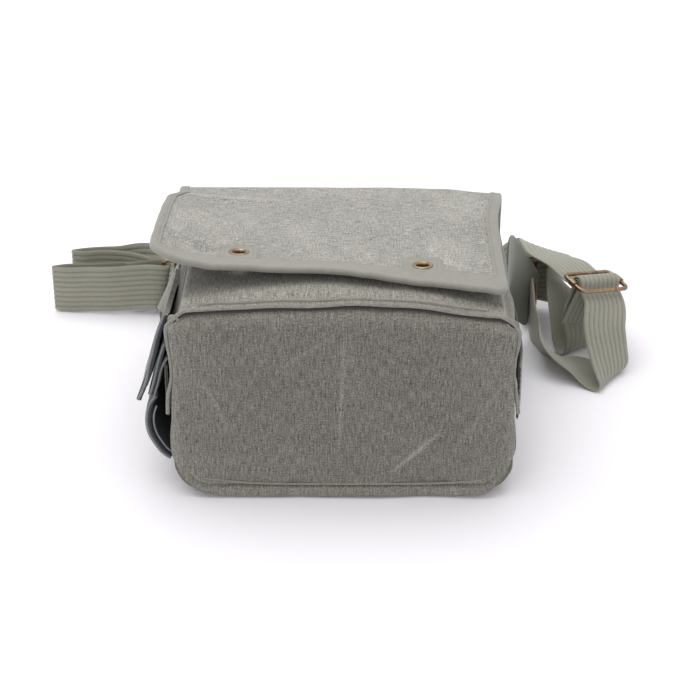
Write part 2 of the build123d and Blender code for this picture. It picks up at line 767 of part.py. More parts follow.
# Strap, from the slider down in front, back along the ground and through the right ring
loop_bar = right_ring.origin + right_ring.x_dir * bar_offset
turn_middle = strap_room + webbing / 2
front_start = Plane(origin=by_slider(roll_middle, 0), x_dir=slider.x_dir, z_dir=slider.z_dir * -1)
front_end = Plane(
    origin=loop_bar - right_ring.x_dir * turn_middle, x_dir=right_ring.z_dir * -1, z_dir=right_ring.y_dir
)
front_stations = [
    (by_slider(roll_middle + webbing / 2, -0.6 * bar_clear), slider.x_dir),
    (by_slider(slider_span / 2 - wire / 2, -bar_clear), slider.x_dir),
    (by_slider(slider_span / 2 + wire, -1.5 * bar_clear), slider.x_dir),
    right(77, -40, 38, (0.84, 0.52, -0.15)),
    right(80.5, -47, 20, (0.76, 0.64, -0.05)),
    right(82.5, -52, 9, (0.66, 0.75, 0)),
    right(82.3, -52.8, 5, (0.6, 0.8, 0)),
    right(80.6, -52.2, 2.4, (0.56, 0.83, 0)),
    right(77.5, -50.6, None, (0.56, 0.83, 0)),
    right(62, -41.5, None, (0.5, 0.84, -0.2)),
    right(48, -36, None, (0.3, 0.85, -0.42)),
    right(38, -27, None, (0.1, 0.8, -0.6)),
    right(32, -8, None, (0, 0.5, -0.87)),
    right(29.5, 15, 25, (0, 0.15, -1)),
    right(29.8, 30, 26, (0, 0, -1)),
]
loop_turn = Plane(origin=loop_bar, x_dir=right_ring.x_dir, z_dir=right_ring.z_dir)
with BuildPart() as strap_front_loop:
    add(ribbon(section_planes(front_stations, front_start, front_end)))
    with BuildSketch(loop_turn.offset(-webbing_width / 2)):
        Circle(strap_room + webbing)
        Circle(strap_room, mode=Mode.SUBTRACT)
        with Locations((0, 0)):
            Rectangle(4 * turn_middle, 2 * turn_middle, align=(Align.CENTER, Align.MAX), mode=Mode.SUBTRACT)
            Rectangle(2 * turn_middle, 4 * turn_middle, align=(Align.MIN, Align.CENTER), mode=Mode.SUBTRACT)
    extrude(amount=webbing_width)
save(strap_front_loop.part, "strap_front_loop")

# Strap, from the right ring round to its end, sewn over the slider's middle bar
inner_start = Plane(
    origin=loop_bar + right_ring.y_dir * turn_middle, x_dir=right_ring.z_dir, z_dir=right_ring.x_dir
)
inner_end = Plane(
    origin=by_slider(-inner_room - webbing / 2, -sewn_leg), x_dir=slider.x_dir, z_dir=slider.z_dir
)
inner_stations_right = [
    right(43, 51, 26.5, (0, 0.05, 1)),
    right(50, 46, 26.5, (0.05, 0.1, 1)),
    right(55, 38, 26.5, (0.15, 0.1, 0.95)),
    right(58, 29, 27, (0.4, 0.2, 0.85)),
    right(60, 21, 27.5, (0.65, 0.35, 0.6)),
    right(61, 14, 26, (0.78, 0.45, 0.3)),
    right(61.5, 8, 20.5, (0.82, 0.52, 0.05)),
    right(62, 5, 13, (0.82, 0.54, 0)),
    right(63, 2, 6.5, (0.82, 0.54, 0)),
    right(64.5, -1.5, 2.6, (0.82, 0.54, 0)),
    right(66.3, -5.5, 2.2, (0.82, 0.54, 0)),
    right(67.5, -9, 6, (0.82, 0.54, 0)),
    right(67.5, -10, 14, (0.82, 0.53, -0.05)),
]
with BuildPart() as strap_inner_loop:
    with BuildSketch(roll_plane.offset(-webbing_width / 2)):
        LoopOutline(inner_room, 1.3 * sewn_leg, sewn_leg)
    extrude(amount=webbing_width)
    add(ribbon(section_planes(inner_stations_right, inner_start, inner_end)))
save(strap_inner_loop.part, "strap_inner_loop")
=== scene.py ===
import bmesh
import bpy
import numpy as np
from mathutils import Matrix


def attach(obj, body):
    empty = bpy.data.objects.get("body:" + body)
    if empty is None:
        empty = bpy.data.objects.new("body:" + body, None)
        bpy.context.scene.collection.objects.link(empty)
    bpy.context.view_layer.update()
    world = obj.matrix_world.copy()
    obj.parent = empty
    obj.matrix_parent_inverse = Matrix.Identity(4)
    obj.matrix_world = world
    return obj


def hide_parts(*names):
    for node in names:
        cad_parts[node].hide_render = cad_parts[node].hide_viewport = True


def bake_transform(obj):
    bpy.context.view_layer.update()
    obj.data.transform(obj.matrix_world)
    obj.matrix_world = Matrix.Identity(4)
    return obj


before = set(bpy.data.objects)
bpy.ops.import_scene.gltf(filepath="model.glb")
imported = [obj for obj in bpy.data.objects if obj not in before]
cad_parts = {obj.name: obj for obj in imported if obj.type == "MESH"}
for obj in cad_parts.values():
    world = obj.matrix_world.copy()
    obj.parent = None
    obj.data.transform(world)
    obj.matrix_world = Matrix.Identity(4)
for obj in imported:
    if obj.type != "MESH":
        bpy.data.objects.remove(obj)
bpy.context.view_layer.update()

# Studio. A pale sheet runs under the bag, one broad soft lamp hangs above it and a weak one stands
# in front, and the camera looks down at the base from about arm's length.
bpy.context.scene.view_settings.view_transform = "Standard"
camera = bpy.data.objects.new("camera", bpy.data.cameras.new("camera"))
bpy.context.collection.objects.link(camera)
bpy.context.scene.camera = camera
camera_dip = 31.0
camera.data.lens = 98.04
camera.data.sensor_width = 36.0
camera.data.clip_start = 0.05
camera.location = (0.0044, -1.1236, 0.7272)
camera.rotation_euler = (np.radians(90.0 - camera_dip), 0.0, 0.0)


def lin(*levels):
    """Scene-linear colour for display levels 0 to 255: ((c + 0.055) / 1.055) to the power 2.4."""
    c = np.array(levels, float) / 255
    return tuple(np.where(c <= 0.04045, c / 12.92, ((c + 0.055) / 1.055) ** 2.4)) + (1.0,)


def lamp(name, place, target, side, watts):
    """Square soft lamp at a place, turned to a target."""
    light = bpy.data.lights.new(name, "AREA")
    light.size = side
    light.energy = watts
    thing = bpy.data.objects.new(name, light)
    bpy.context.collection.objects.link(thing)
    thing.location = place
    way = np.array(target, float) - np.array(place, float)
    dip = np.arctan2(np.hypot(way[0], way[1]), -way[2])
    thing.rotation_euler = (dip, 0, np.arctan2(-way[0], way[1]))


def feed(owner, socket, value):
    """Joins an output to a socket, or gives the socket a constant."""
    if hasattr(value, "is_output"):
        owner.node_tree.links.new(value, socket)
    else:
        socket.default_value = value


def node(owner, kind, **settings):
    """New node in a material or a world. Names in lower case set the node's own properties, and the
    others its inputs."""
    made = owner.node_tree.nodes.new(kind)
    for key, value in settings.items():
        if key[0].islower():
            setattr(made, key, value)
        else:
            feed(owner, made.inputs[key], value)
    return made


def math(owner, operation, *values):
    """Math node on one or two values or sockets."""
    made = node(owner, "ShaderNodeMath", operation=operation)
    for socket, value in zip(made.inputs, values):
        feed(owner, socket, value)
    return made.outputs[0]


lamp("lamp_above", (-0.2, 0.25, 1.6), (0.0, 0.05, 0.0), 1.6, 17.0)
lamp("lamp_front", (-0.9, -1.5, 0.9), (0.0, 0.0, 0.05), 0.9, 3.4)

studio = bpy.data.worlds.new("studio_air")
bpy.context.scene.world = studio
studio.use_nodes = True
studio.node_tree.nodes.clear()
path = node(studio, "ShaderNodeLightPath")
seen = math(studio, "MAXIMUM", path.outputs["Is Camera Ray"], path.outputs["Is Glossy Ray"])
white = node(studio, "ShaderNodeBackground", Color=(1.0, 0.995, 1.0, 1.0), Strength=1.0)
air = node(studio, "ShaderNodeBackground", Color=(1.0, 0.99, 0.985, 1.0), Strength=0.74)
either = node(studio, "ShaderNodeMixShader")
for socket, source in zip(either.inputs, (seen, air.outputs[0], white.outputs[0])):
    feed(studio, socket, source)
node(studio, "ShaderNodeOutputWorld", Surface=either.outputs[0])

floor_mesh = bpy.data.meshes.new("floor")
floor_mesh.from_pydata([(-4, -3, 0), (4, -3, 0), (4, 9, 0), (-4, 9, 0)], [], [(0, 1, 2, 3)])
floor = bpy.data.objects.new("floor", floor_mesh)
bpy.context.collection.objects.link(floor)
paper = bpy.data.materials.new("pale_floor")
paper.use_nodes = True
surface = paper.node_tree.nodes["Principled BSDF"].inputs
surface["Base Color"].default_value = (0.955, 0.945, 0.985, 1.0)
surface["Roughness"].default_value = 0.9
surface["Specular IOR Level"].default_value = 0.1
floor_mesh.materials.append(paper)


# Case. Washed canvas over foam: one wall goes round the back, both sides and the swollen front, and is
# sewn to the base. The back edges are well rounded, and the wall leans in a little to the mouth.
def rolling(points, size, seed):
    """Soft unevenness from about -1 to 1: 1.8 times the mean of 9 sine waves, each with its own
    direction and a length between 0.7 and 1.6 times the size, in millimetres."""
    dice = np.random.default_rng(seed)
    ways = dice.normal(size=(9, 3))
    ways *= (2 * np.pi / size) / (np.linalg.norm(ways, axis=1)[:, None] * dice.uniform(0.7, 1.6, (9, 1)))
    return np.sin(points @ ways.T + dice.uniform(0, 2 * np.pi, 9)).mean(axis=-1) * 1.8


def ease(t):
    """Smooth step from 0 to 1: t squared times (3 - 2 t)."""
    t = np.clip(t, 0, 1)
    return t * t * (3 - 2 * t)


def outward(grid):
    """Unit normals of a grid that closes on itself in its first direction: the cross product of the
    differences in its two directions."""
    normal = np.cross(np.roll(grid, -1, 0) - np.roll(grid, 1, 0), np.gradient(grid, axis=1))
    return normal / np.maximum(np.linalg.norm(normal, axis=-1, keepdims=True), 1e-9)


def run_of(line):
    """Running length along a line of points, from 0."""
    return np.concatenate([[0], np.cumsum(np.linalg.norm(np.diff(line, axis=0), axis=1))])


def lengths(grid):
    """Running length in millimetres along each direction of a grid, as a pair of coordinates."""
    across = np.linalg.norm(np.diff(grid, axis=0), axis=-1).mean(axis=1)
    along = np.linalg.norm(np.diff(grid, axis=1), axis=-1).mean(axis=0)
    s = np.concatenate([[0], np.cumsum(across)])
    t = np.concatenate([[0], np.cumsum(along)])
    return np.stack(np.meshgrid(s, t, indexing="ij"), axis=-1)


def piece(name, points, faces, flat, materials, which=None, sharp=50.0, **facts):
    """Mesh object from points and flat coordinates in millimetres, both kept in metres, with its
    faces turned outwards and one float attribute for each extra fact."""
    mesh = bpy.data.meshes.new(name)
    mesh.from_pydata((points / 1000).tolist(), [], faces)
    corner = np.empty(len(mesh.loops), np.int32)
    mesh.loops.foreach_get("vertex_index", corner)
    uv = (flat / 1000)[corner].astype(np.float32)
    mesh.uv_layers.new(name="UVMap").data.foreach_set("uv", uv.ravel())
    for fact, values in facts.items():
        data = mesh.attributes.new(fact, "FLOAT", "POINT").data
        data.foreach_set("value", values.astype(np.float32).ravel())
    for material in materials:
        mesh.materials.append(material)
    if which is not None:
        mesh.polygons.foreach_set("material_index", np.asarray(which, np.int32))
    turned = bmesh.new()
    turned.from_mesh(mesh)
    bmesh.ops.recalc_face_normals(turned, faces=turned.faces)
    turned.to_mesh(mesh)
    turned.free()
    mesh.polygons.foreach_set("use_smooth", np.ones(len(mesh.polygons), bool))
    mesh.set_sharp_from_angle(angle=np.radians(sharp))
    made = bpy.data.objects.new(name, mesh)
    bpy.context.collection.objects.link(made)
    return made


def quads(rows, columns, start=0, wrap=False):
    """Faces of a grid stored row by row: each corner and its three next ones. wrap joins the last
    row to the first."""
    last = rows if wrap else rows - 1
    i, j = np.meshgrid(np.arange(last), np.arange(columns - 1), indexing="ij")
    k = (i + 1) % rows
    corners = [i * columns + j, k * columns + j, k * columns + j + 1, i * columns + j + 1]
    return (start + np.stack(corners, -1)).reshape(-1, 4)


def slab(name, top, under, materials, flat=None, wrap=False, inside=0, rim=(0, 0, 0, 0), **facts):
    """Closed cloth between two grids of points, with its edges filled in. inside and rim are the
    numbers of the materials on the under side and on each of the four edges."""
    rows, columns = top.shape[:2]
    count = rows * columns
    faces = [quads(rows, columns, 0, wrap), quads(rows, columns, count, wrap)[:, ::-1]]
    index = np.arange(count).reshape(rows, columns)
    edges = [index[:, 0], index[:, -1]]
    if not wrap:
        edges += [index[0], index[-1]]
    for edge in edges:
        ring = np.append(edge, edge[0]) if wrap else edge
        faces.append(np.stack([ring[:-1], ring[1:], ring[1:] + count, ring[:-1] + count], -1))
    numbers = [0, inside, *rim]
    which = np.concatenate([np.full(len(part), number) for part, number in zip(faces, numbers)])
    flat = lengths(top) if flat is None else flat
    both = {fact: np.concatenate([values.ravel()] * 2) for fact, values in facts.items()}
    return piece(
        name,
        np.concatenate([top.reshape(-1, 3), under.reshape(-1, 3)]),
        np.concatenate(faces).tolist(),
        np.concatenate([flat.reshape(-1, 2)] * 2),
        materials,
        which,
        **both,
    )


def material(name, colour, roughness, sheen):
    """Principled material with constants on its own sockets, and its shader."""
    made = bpy.data.materials.new(name)
    made.use_nodes = True
    shader = made.node_tree.nodes["Principled BSDF"]
    shader.inputs["Base Color"].default_value = colour
    shader.inputs["Roughness"].default_value = roughness
    shader.inputs["Specular IOR Level"].default_value = 0.25
    shader.inputs["Sheen Weight"].default_value = sheen
    shader.inputs["Sheen Roughness"].default_value = 0.6
    return made, shader


def stretched(owner, place, scale, detail=2.0):
    """Noise from 0 to 1 on coordinates multiplied by a scale of its own in each direction."""
    spread = node(owner, "ShaderNodeMapping", Vector=place, Scale=scale).outputs[0]
    noise = node(owner, "ShaderNodeTexNoise", Vector=spread, Scale=1.0, Detail=detail, Roughness=0.6)
    return noise.outputs["Fac"]


def summed(owner, start, *parts):
    """start plus the weight times the fact of each part (fact, weight), or the weight times the fact
    less its middle where a part is (fact, weight, middle)."""
    for fact, weight, *middle in parts:
        if middle:
            fact = math(owner, "SUBTRACT", fact, middle[0])
        start = math(owner, "ADD", start, math(owner, "MULTIPLY", fact, weight))
    return start


def tinted(owner, shader, colour, share):
    """Base colour of a shader: the colour times a share that is near 1."""
    grey = node(owner, "ShaderNodeCombineColor", Red=share, Green=share, Blue=share).outputs[0]
    mix = node(owner, "ShaderNodeMix", data_type="RGBA", blend_type="MULTIPLY")
    for number, value in ((0, 1.0), (6, colour), (7, grey)):
        feed(owner, mix.inputs[number], value)
    feed(owner, shader.inputs["Base Color"], mix.outputs[2])


def bumped(owner, shader, height, strength, distance):
    """Bump on a shader's normal, from a height socket."""
    bump = node(owner, "ShaderNodeBump", Height=height, Strength=strength, Distance=distance)
    feed(owner, shader.inputs["Normal"], bump.outputs[0])


def canvas(name, colour, thread=0.75, fleck=0.42, wear=0.25, lean=0.7):
    """Washed canvas: a plain weave of two crossed waves, slubs as noise drawn out along both threads,
    lean giving the share of the warp's, pale flecks in clusters, broad fading, and paler edges where
    the wear attribute is high."""
    made, shader = material(name, colour, 0.92, 0.18)
    place = node(made, "ShaderNodeUVMap", uv_map="UVMap").outputs[0]
    per = 1000 / thread
    warp = math(made, "SUBTRACT", stretched(made, place, (per * 0.85, per * 0.09, 1)), 0.5)
    weft = math(made, "SUBTRACT", stretched(made, place, (per * 0.1, per * 0.85, 1)), 0.5)
    speck = stretched(made, place, (per * 0.72, per * 0.72, 1), 1.0)
    broad = stretched(made, place, (24, 17, 1), 3.0)
    cluster = stretched(made, place, (75, 60, 1))
    warp = math(made, "MULTIPLY", warp, 2 * lean)
    slub = summed(made, warp, (weft, 2 - 2 * lean), (speck, 1.2, 0.5))
    pale = math(made, "MAXIMUM", math(made, "SUBTRACT", speck, 0.6), 0.0)
    pale = math(made, "MULTIPLY", pale, cluster)
    worn = node(made, "ShaderNodeAttribute", attribute_name="wear").outputs["Fac"]
    worn = math(made, "MULTIPLY", worn, summed(made, 0.35, (speck, 1.3)))
    parts = [(slub, 2.4 * fleck), (pale, 6.0 * fleck), (broad, 0.34, 0.5), (worn, wear)]
    tinted(made, shader, colour, summed(made, 1.0, *parts))
    split = node(made, "ShaderNodeSeparateXYZ", Vector=place)
    waves = [math(made, "MULTIPLY", split.outputs[k], 2 * np.pi * per) for k in (0, 1)]
    weave = math(made, "MULTIPLY", *[math(made, "SINE", wave) for wave in waves])
    height = summed(made, math(made, "MULTIPLY", weave, 0.35), (slub, 1.6))
    bumped(made, shader, height, 0.55, 0.00022)
    return made


case_half, case_low, case_deep = 110.0, 0.0, 124.0
back_round, front_round, front_swell = 22.0, 9.0, 12.0
base_y, mouth_y, lean = -95.0, 95.0, 10.0 / 190.0
case_canvas = canvas("case_canvas", lin(118, 116, 109), fleck=0.6)
lining_cloth = canvas("dark_lining", lin(52, 60, 68), thread=0.5, fleck=0.25, wear=0.0)


def swell(x):
    """How far the front stands out: a parabola from 0 at the side edges to 12 mm in the middle."""
    return front_swell * (1 - (x / case_half) ** 2)


def case_outline(y, count, inset=0.0, front=front_round):
    """Ring of points round the case at height y, anticlockwise seen from the base: the back's flat,
    quarter circles at the back edges, straight sides, small front corners, and the swollen front.
    It leans in by 10 mm over the case's height."""
    half = case_half - inset
    deep = case_deep - (y - base_y) * lean - inset
    low = case_low + inset
    big, small = back_round - inset, front - inset
    turn = np.linspace(0, np.pi / 2, 14)
    stretches = [
        (np.linspace(-half + big, half - big, 40), np.full(40, low)),
        (half - big + big * np.sin(turn), low + big - big * np.cos(turn)),
        (np.full(30, half), np.linspace(low + big, deep - small, 30)),
        (half - small + small * np.cos(turn), deep - small + small * np.sin(turn)),
        (np.linspace(half - small, -half + small, 70), np.full(70, deep)),
        (-half + small - small * np.sin(turn), deep - small + small * np.cos(turn)),
        (np.full(30, -half), np.linspace(deep - small, low + big, 30)),
        (-half + big - big * np.cos(turn), low + big - big * np.sin(turn)),
    ]
    x, z = np.concatenate([np.stack(stretch) for stretch in stretches], axis=1)
    z = z + swell(x) * np.clip((z - low) / (deep - low), 0, 1) ** 3
    ring = np.stack([x, z], -1)
    run = run_of(ring)
    keep = np.concatenate([[True], np.diff(run) > 1e-6])
    spots = np.linspace(0, run[-1], count, endpoint=False)
    return np.stack([np.interp(spots, run[keep], ring[keep, k]) for k in (0, 1)], -1)


def case_wall(inset, ys, count):
    """Grid round and along the case, with y as its second direction."""
    rings = [case_outline(y, count, inset) for y in ys]
    rings = [np.column_stack([ring[:, 0], np.full(count, y), ring[:, 1]]) for ring, y in zip(rings, ys)]
    return np.stack(rings, axis=1)


wall_count, wall_thick, above_ground = 380, 2.0, 0.05
wall_y = np.linspace(base_y + 1, mouth_y, 96)
wall_out = case_wall(0.0, wall_y, wall_count)
wall_in = case_wall(wall_thick, wall_y, wall_count)
wall_way = outward(wall_out)
wall_way *= np.sign((wall_way * (wall_out - [0, 0, case_deep / 2])).sum(-1, keepdims=True))
off_floor = ease((wall_out[..., 2] - 1.5) / 14)
rise = (0.9 * rolling(wall_out, 46, 3) + 0.35 * rolling(wall_out, 17, 4)) * off_floor
wall_out = wall_out + wall_way * rise[..., None]
wall_out[..., 2] = np.maximum(wall_out[..., 2], above_ground)
mouth_wear = ease((wall_out[..., 1] - mouth_y + 7) / 6)
case = slab("case_wall", wall_out, wall_in, [case_canvas, lining_cloth], wrap=True, inside=1, wear=mouth_wear)
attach(case, "case")
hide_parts("back_panel", "side_panel_left", "side_panel_right", "front_panel")


# Base. A padded canvas face sewn in at the foot of the case. It stands out a little all round, rolls
# over to the seam under the front, and is worn pale along its folds and on a few creases.
base_puff, strip_height, strip_half, base_middle = 6.5, 10.0, 104.0, 68.0
seam_top, seam_fall_left, seam_fall_right = 139.6, 6.8, 11.5
base_canvas = canvas("base_canvas", lin(110, 108, 101), fleck=0.66, wear=0.5)


def front_edge(x):
    """Height of the base's front seam: a shallow parabola that falls further on the right."""
    return seam_top - np.where(x < 0, seam_fall_left, seam_fall_right) * (x / case_half) ** 2


def bell(t):
    """Round bump: e to the power of minus t squared, which is 1 at 0."""
    return np.exp(-(t**2))


def base_ring(share, count):
    """Ring of the base at a share of the way out from its middle: the case outline with its front
    edge moved to the seam, a slow wave along its sides, and its back corners drawn in."""
    ring = case_outline(base_y, count, 0.0, 4.0)
    x, z = ring[:, 0].copy(), ring[:, 1]
    z += (front_edge(x) - case_deep - swell(x)) * ease((z - 50) / 70)
    side = ease((np.abs(x) - 96) / 12) * np.sign(x)
    wave = 2.2 * np.sin((z - 14) / 46 * np.pi) * (z < 60) - 2.6 * bell((z - 98) / 20)
    ring[:, 0] += side * wave
    cut = np.clip(np.abs(x) - 72 - np.where(x < 0, 6, 0), 0, None) + np.clip(34 - z, 0, None)
    drop = 4.5 * ease((cut - 24) / 24) * ease((34 - z) / 14)
    ring -= np.stack([np.sign(x) * drop * 0.6, -drop * 0.8], -1)
    middle = np.array([0.0, base_middle])
    return middle + (ring - middle) * share


def roll_over(distance, width):
    """Quarter ellipse from 0 at the seam to 1 at a width inwards."""
    return np.sqrt(1 - (1 - np.clip(distance / width, 0, 1)) ** 2)


shares = 1 - np.concatenate([np.linspace(0, 0.16, 34), np.linspace(0.17, 0.97, 60), [0.995]])
base_flat = np.stack([base_ring(share, 460) for share in shares], axis=1)
x, z = base_flat[..., 0], base_flat[..., 1]
to_front = front_edge(x) - z
corner_x = np.clip(np.abs(x) - case_half + back_round, 0, None)
corner = back_round - np.hypot(corner_x, np.clip(back_round - z, 0, None))
from_foot = np.where((np.abs(x) > case_half - back_round) & (z < back_round), corner, z)
front_roll = roll_over(to_front, 13)
side_roll = roll_over(case_half + 1.5 - np.abs(x), 11)
foot_roll = 0.78 + 0.22 * roll_over(from_foot, 4)
puff = base_puff * np.minimum(np.minimum(front_roll, side_roll), foot_roll)
strip = ease((strip_height - from_foot) / 1.6) * ease((strip_half - np.abs(x)) / 14)
in_strip = ease((strip_half - np.abs(x)) / 10)
puff = puff + 2.0 * np.sin(np.pi * np.clip(from_foot / strip_height, 0, 1)) ** 0.6 * strip
puff = puff - 1.2 * bell(from_foot - strip_height) * in_strip
spot = np.stack([x, 0 * x, z], -1)
puff = puff + (0.8 * rolling(spot, 60, 11) + 0.3 * rolling(spot, 20, 12)) * np.minimum(front_roll, side_roll)
base_top = np.stack([x, base_y + 0.8 - puff, np.maximum(z, 0.1)], -1)
base_under = np.stack([x, base_y + 2.4 + 0 * x, np.maximum(z, 1.4)], -1)
fold = (1 - ease(to_front / 12)) * 0.7 + (1 - ease((case_half - np.abs(x)) / 7)) * 0.5 + strip * 0.45
fold = fold + 0.9 * bell((from_foot - strip_height - 1.5) / 0.8) * in_strip


def crease(x, z, start, end, width):
    """Worn line between two points: 1 on the line, fading over its width and at its ends."""
    a, b = np.array(start, float), np.array(end, float)
    run = b - a
    t = np.clip(((x - a[0]) * run[0] + (z - a[1]) * run[1]) / (run @ run), 0, 1)
    away = np.hypot(x - a[0] - t * run[0], z - a[1] - t * run[1])
    return bell(away / width) * (0.4 + 0.6 * np.sin(np.pi * t))


worn_creases = [
    ((32, 20), (62, 50), 1.3, 2.0), ((71, 10), (75, 1), 0.7, 1.6), ((-3, 30), (1, 122), 1.2, 0.9),
    ((-72, 52), (-88, 88), 1.4, 0.6), ((74, 40), (97, 78), 1.4, 0.6), ((-42, 96), (-12, 118), 1.5, 0.5),
    ((12, 60), (46, 40), 1.6, 0.4),
]
base_wear = fold + 0.3 * (1 - ease((z - 4) / 46)) + 0.2 * ease((np.abs(x) - 70) / 40)
for start, end, width, depth in worn_creases:
    base_wear = base_wear + depth * crease(x, z, start, end, width)
base = slab("base_panel", base_top, base_under, [base_canvas], base_flat, wrap=True, wear=base_wear)
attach(base, "case")
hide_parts("bottom_panel")


# Seams of the base. A cord of folded canvas closes the seam under the front pocket, with a soft hem
# lying over it, and a thinner one runs along the back edge, close to the ground.
def hermite(f, h, ends, slopes):
    """Cubic from the first end to the second with the given slopes, at the share f of a step h."""
    return (
        (2 * f**3 - 3 * f**2 + 1) * ends[0]
        + (f**3 - 2 * f**2 + f) * h * slopes[0]
        + (3 * f**2 - 2 * f**3) * ends[1]
        + (f**3 - f**2) * h * slopes[1]
    )


def step_of(knots, at):
    """Number of the knot below each place, from the first to the last but one."""
    return np.clip(np.searchsorted(knots, at, side="right") - 1, 0, len(knots) - 2)


def along(points, step, closed=False):
    """Smooth line through points: cubic Hermite pieces with chord lengths as parameter and each
    point's tangent the slope between its neighbours, sampled about every step."""
    points = np.array(points, float)
    if closed:
        points = np.concatenate([points[-2:], points, points[:3]])
    gaps = np.linalg.norm(np.diff(points, axis=0), axis=1)
    chord = np.concatenate([[0], np.cumsum(np.maximum(gaps, 1e-6))])
    slope = np.gradient(points, chord, axis=0)
    low, high = (chord[2], chord[-3]) if closed else (chord[0], chord[-1])
    t = np.linspace(low, high, max(int((high - low) / step), 2) + 1)
    k = step_of(chord, t)
    h = (chord[k + 1] - chord[k])[:, None]
    f = (t - chord[k])[:, None] / h
    return hermite(f, h, (points[k], points[k + 1]), (slope[k], slope[k + 1]))


def tube(name, line, across, section, flat, materials, closed=False, sharp=50.0, **facts):
    """Closed profile carried along a line: each section is a list of (across, out) offsets, across
    made square to the line and out square to both. The ends are flat faces if the line isn't closed."""
    run = np.gradient(line, axis=0)
    run /= np.linalg.norm(run, axis=1, keepdims=True)
    across = np.broadcast_to(np.array(across, float), line.shape)
    across = across - run * (across * run).sum(1, keepdims=True)
    across = across / np.linalg.norm(across, axis=1, keepdims=True)
    out = np.cross(run, across)
    points = line[:, None] + across[:, None] * section[..., :1] + out[:, None] * section[..., 1:]
    points[..., 2] = np.maximum(points[..., 2], above_ground)
    n, k = points.shape[:2]
    order = np.arange(n * k).reshape(n, k).T.ravel()
    faces = order[quads(k, n, 0, wrap=True)].tolist()
    if not closed:
        faces += [list(range(k)), list(range((n - 1) * k, n * k))]
    return piece(name, points.reshape(-1, 3), faces, flat.reshape(-1, 2), materials, sharp=sharp, **facts)


def carried(name, line, across, section, materials, closed=False):
    """Tube of one section along a line, its flat coordinates the lengths round and along it."""
    flat = np.stack(np.broadcast_arrays(run_of(section)[None], run_of(line)[:, None]), -1)
    section = np.broadcast_to(section, (len(line), *section.shape))
    return tube(name, line, across, section, flat, materials, closed)


def round_section(radius, count=10, flatten=1.0):
    """Circle of points, squeezed across by a share."""
    a = np.linspace(0, 2 * np.pi, count, endpoint=False)
    return np.stack([radius * np.cos(a), radius * flatten * np.sin(a)], -1)


seam_canvas = canvas("seam_canvas", lin(136, 133, 125), fleck=0.35, wear=0.2)
# Near-black canvas for the painted shadow under the front seam.
painted_shade_canvas = canvas("painted_shade_canvas", lin(50, 49, 47), fleck=0.2, wear=0.0)
xs = np.linspace(-100, 100, 21)
wobble = 0.5 * np.sin(xs / 17.0) + 0.3 * np.sin(xs / 7.3 + 1)
seam = front_edge(xs) + wobble
side_left = [
    (-112.6, -95.5, 62), (-111.6, -96, 76), (-108.6, -96.5, 90), (-108.8, -97, 104), (-110.4, -97, 118),
    (-110.0, -97.5, 128), (-106.5, -98, 132.5),
]
side_right = [
    (106.5, -98, 130.0), (109.8, -97.5, 125.0), (110.2, -97, 115), (108.4, -97, 104), (108.0, -96.5, 92),
    (110.4, -96, 77), (112.4, -95.5, 62),
]
front_run = np.stack([xs, -96.0 + 0.3 * wobble, seam + 3.0], -1)
cord_line = along(np.concatenate([side_left, front_run, side_right]), 1.5)
seam_cord = carried("seam_cord", cord_line, (0, 0.3, 1), round_section(1.35), [seam_canvas])
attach(seam_cord, "case")
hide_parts("base_piping_front")
# Painted shadow: this dark cord just under the front seam stands in for the shadow in the gap between the
# seam and the base.
gap_run = np.stack([xs, -97.2 + 0 * xs, seam + 0.9], -1)
gap_line = along(np.concatenate([[(-107, -97.6, 130.0)], gap_run, [(107, -97.6, 127.0)]]), 2)
seam_painted_shadow = carried("seam_painted_shadow", gap_line, (0, 0, 1), round_section(0.8, 8, 0.8), [painted_shade_canvas])
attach(seam_painted_shadow, "case")
hem_line = along(np.stack([xs[1:-1], -94.0 + 0 * xs[1:-1], seam[1:-1] + 5.6], -1), 2)
seam_hem = carried("seam_hem", hem_line, (0, 0, 1), round_section(1.1, 10, 0.8), [seam_canvas])
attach(seam_hem, "case")
for name, centre in (("left", (-105.5, -97.0, 132.5)), ("right", (105.5, -97.0, 129.0))):
    turn = np.linspace(0, 2 * np.pi, 9)[:-1]
    loop = np.array(centre) + np.stack([2.6 * np.cos(turn), -0.8 * np.sin(2 * turn), 2.2 * np.sin(turn)], -1)
    loop = along(loop, 0.8, closed=True)
    knot = carried(f"seam_knot_{name}", loop, (0, 1, 0.01), round_section(1.2), [seam_canvas], closed=True)
    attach(knot, "case")
back_xs = np.linspace(-90, 90, 19)
back_z = strip_height + 0.9 + np.where(back_xs < 0, 7, 4) * (np.abs(back_xs) / 98) ** 4
back_line = along(np.stack([back_xs, -101.3 + 0 * back_xs, back_z], -1), 1.5)
back_cord = carried("back_cord", back_line, (0, 0, 1), round_section(0.75), [seam_canvas])
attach(back_cord, "case")
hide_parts("base_piping_back")


# Front pocket. One layer of a paler canvas lies over the front, sewn down at the foot and along both
# sides and open towards the mouth, with a folded hem at each side.
pocket_half, pocket_foot, pocket_top_y, pocket_thick = 104.0, base_y + 1, 31.0, 1.1
pocket_xs = np.linspace(-pocket_half, pocket_half, 120)
pocket_ys = np.linspace(pocket_foot, pocket_top_y, 70)
px, py = np.meshgrid(pocket_xs, pocket_ys, indexing="ij")
above_foot = py - pocket_foot
front_z = case_deep - (py - base_y) * lean + swell(px)
to_seam = front_edge(px) - case_deep - swell(px) - 3.6
rise = 4.6 + 2.6 * ease(above_foot / 18) - 3.2 * above_foot / (pocket_top_y - pocket_foot)
rise = rise + to_seam * (1 - ease(above_foot / 70))
spot = np.stack([px, py, 0 * px], -1)
rise = rise + 0.7 * rolling(spot, 42, 21) + 0.25 * rolling(spot, 14, 22)
to_side = pocket_half - np.abs(px)
pocket_top = np.stack([px, py, front_z + 1.2 + rise * roll_over(to_side, 5)], -1)
pocket_under = pocket_top - [0, 0, pocket_thick]
hem_wear = (1 - ease(to_side / 4.5)) * 0.9 + (1 - ease((pocket_top_y - py) / 5)) * 0.7
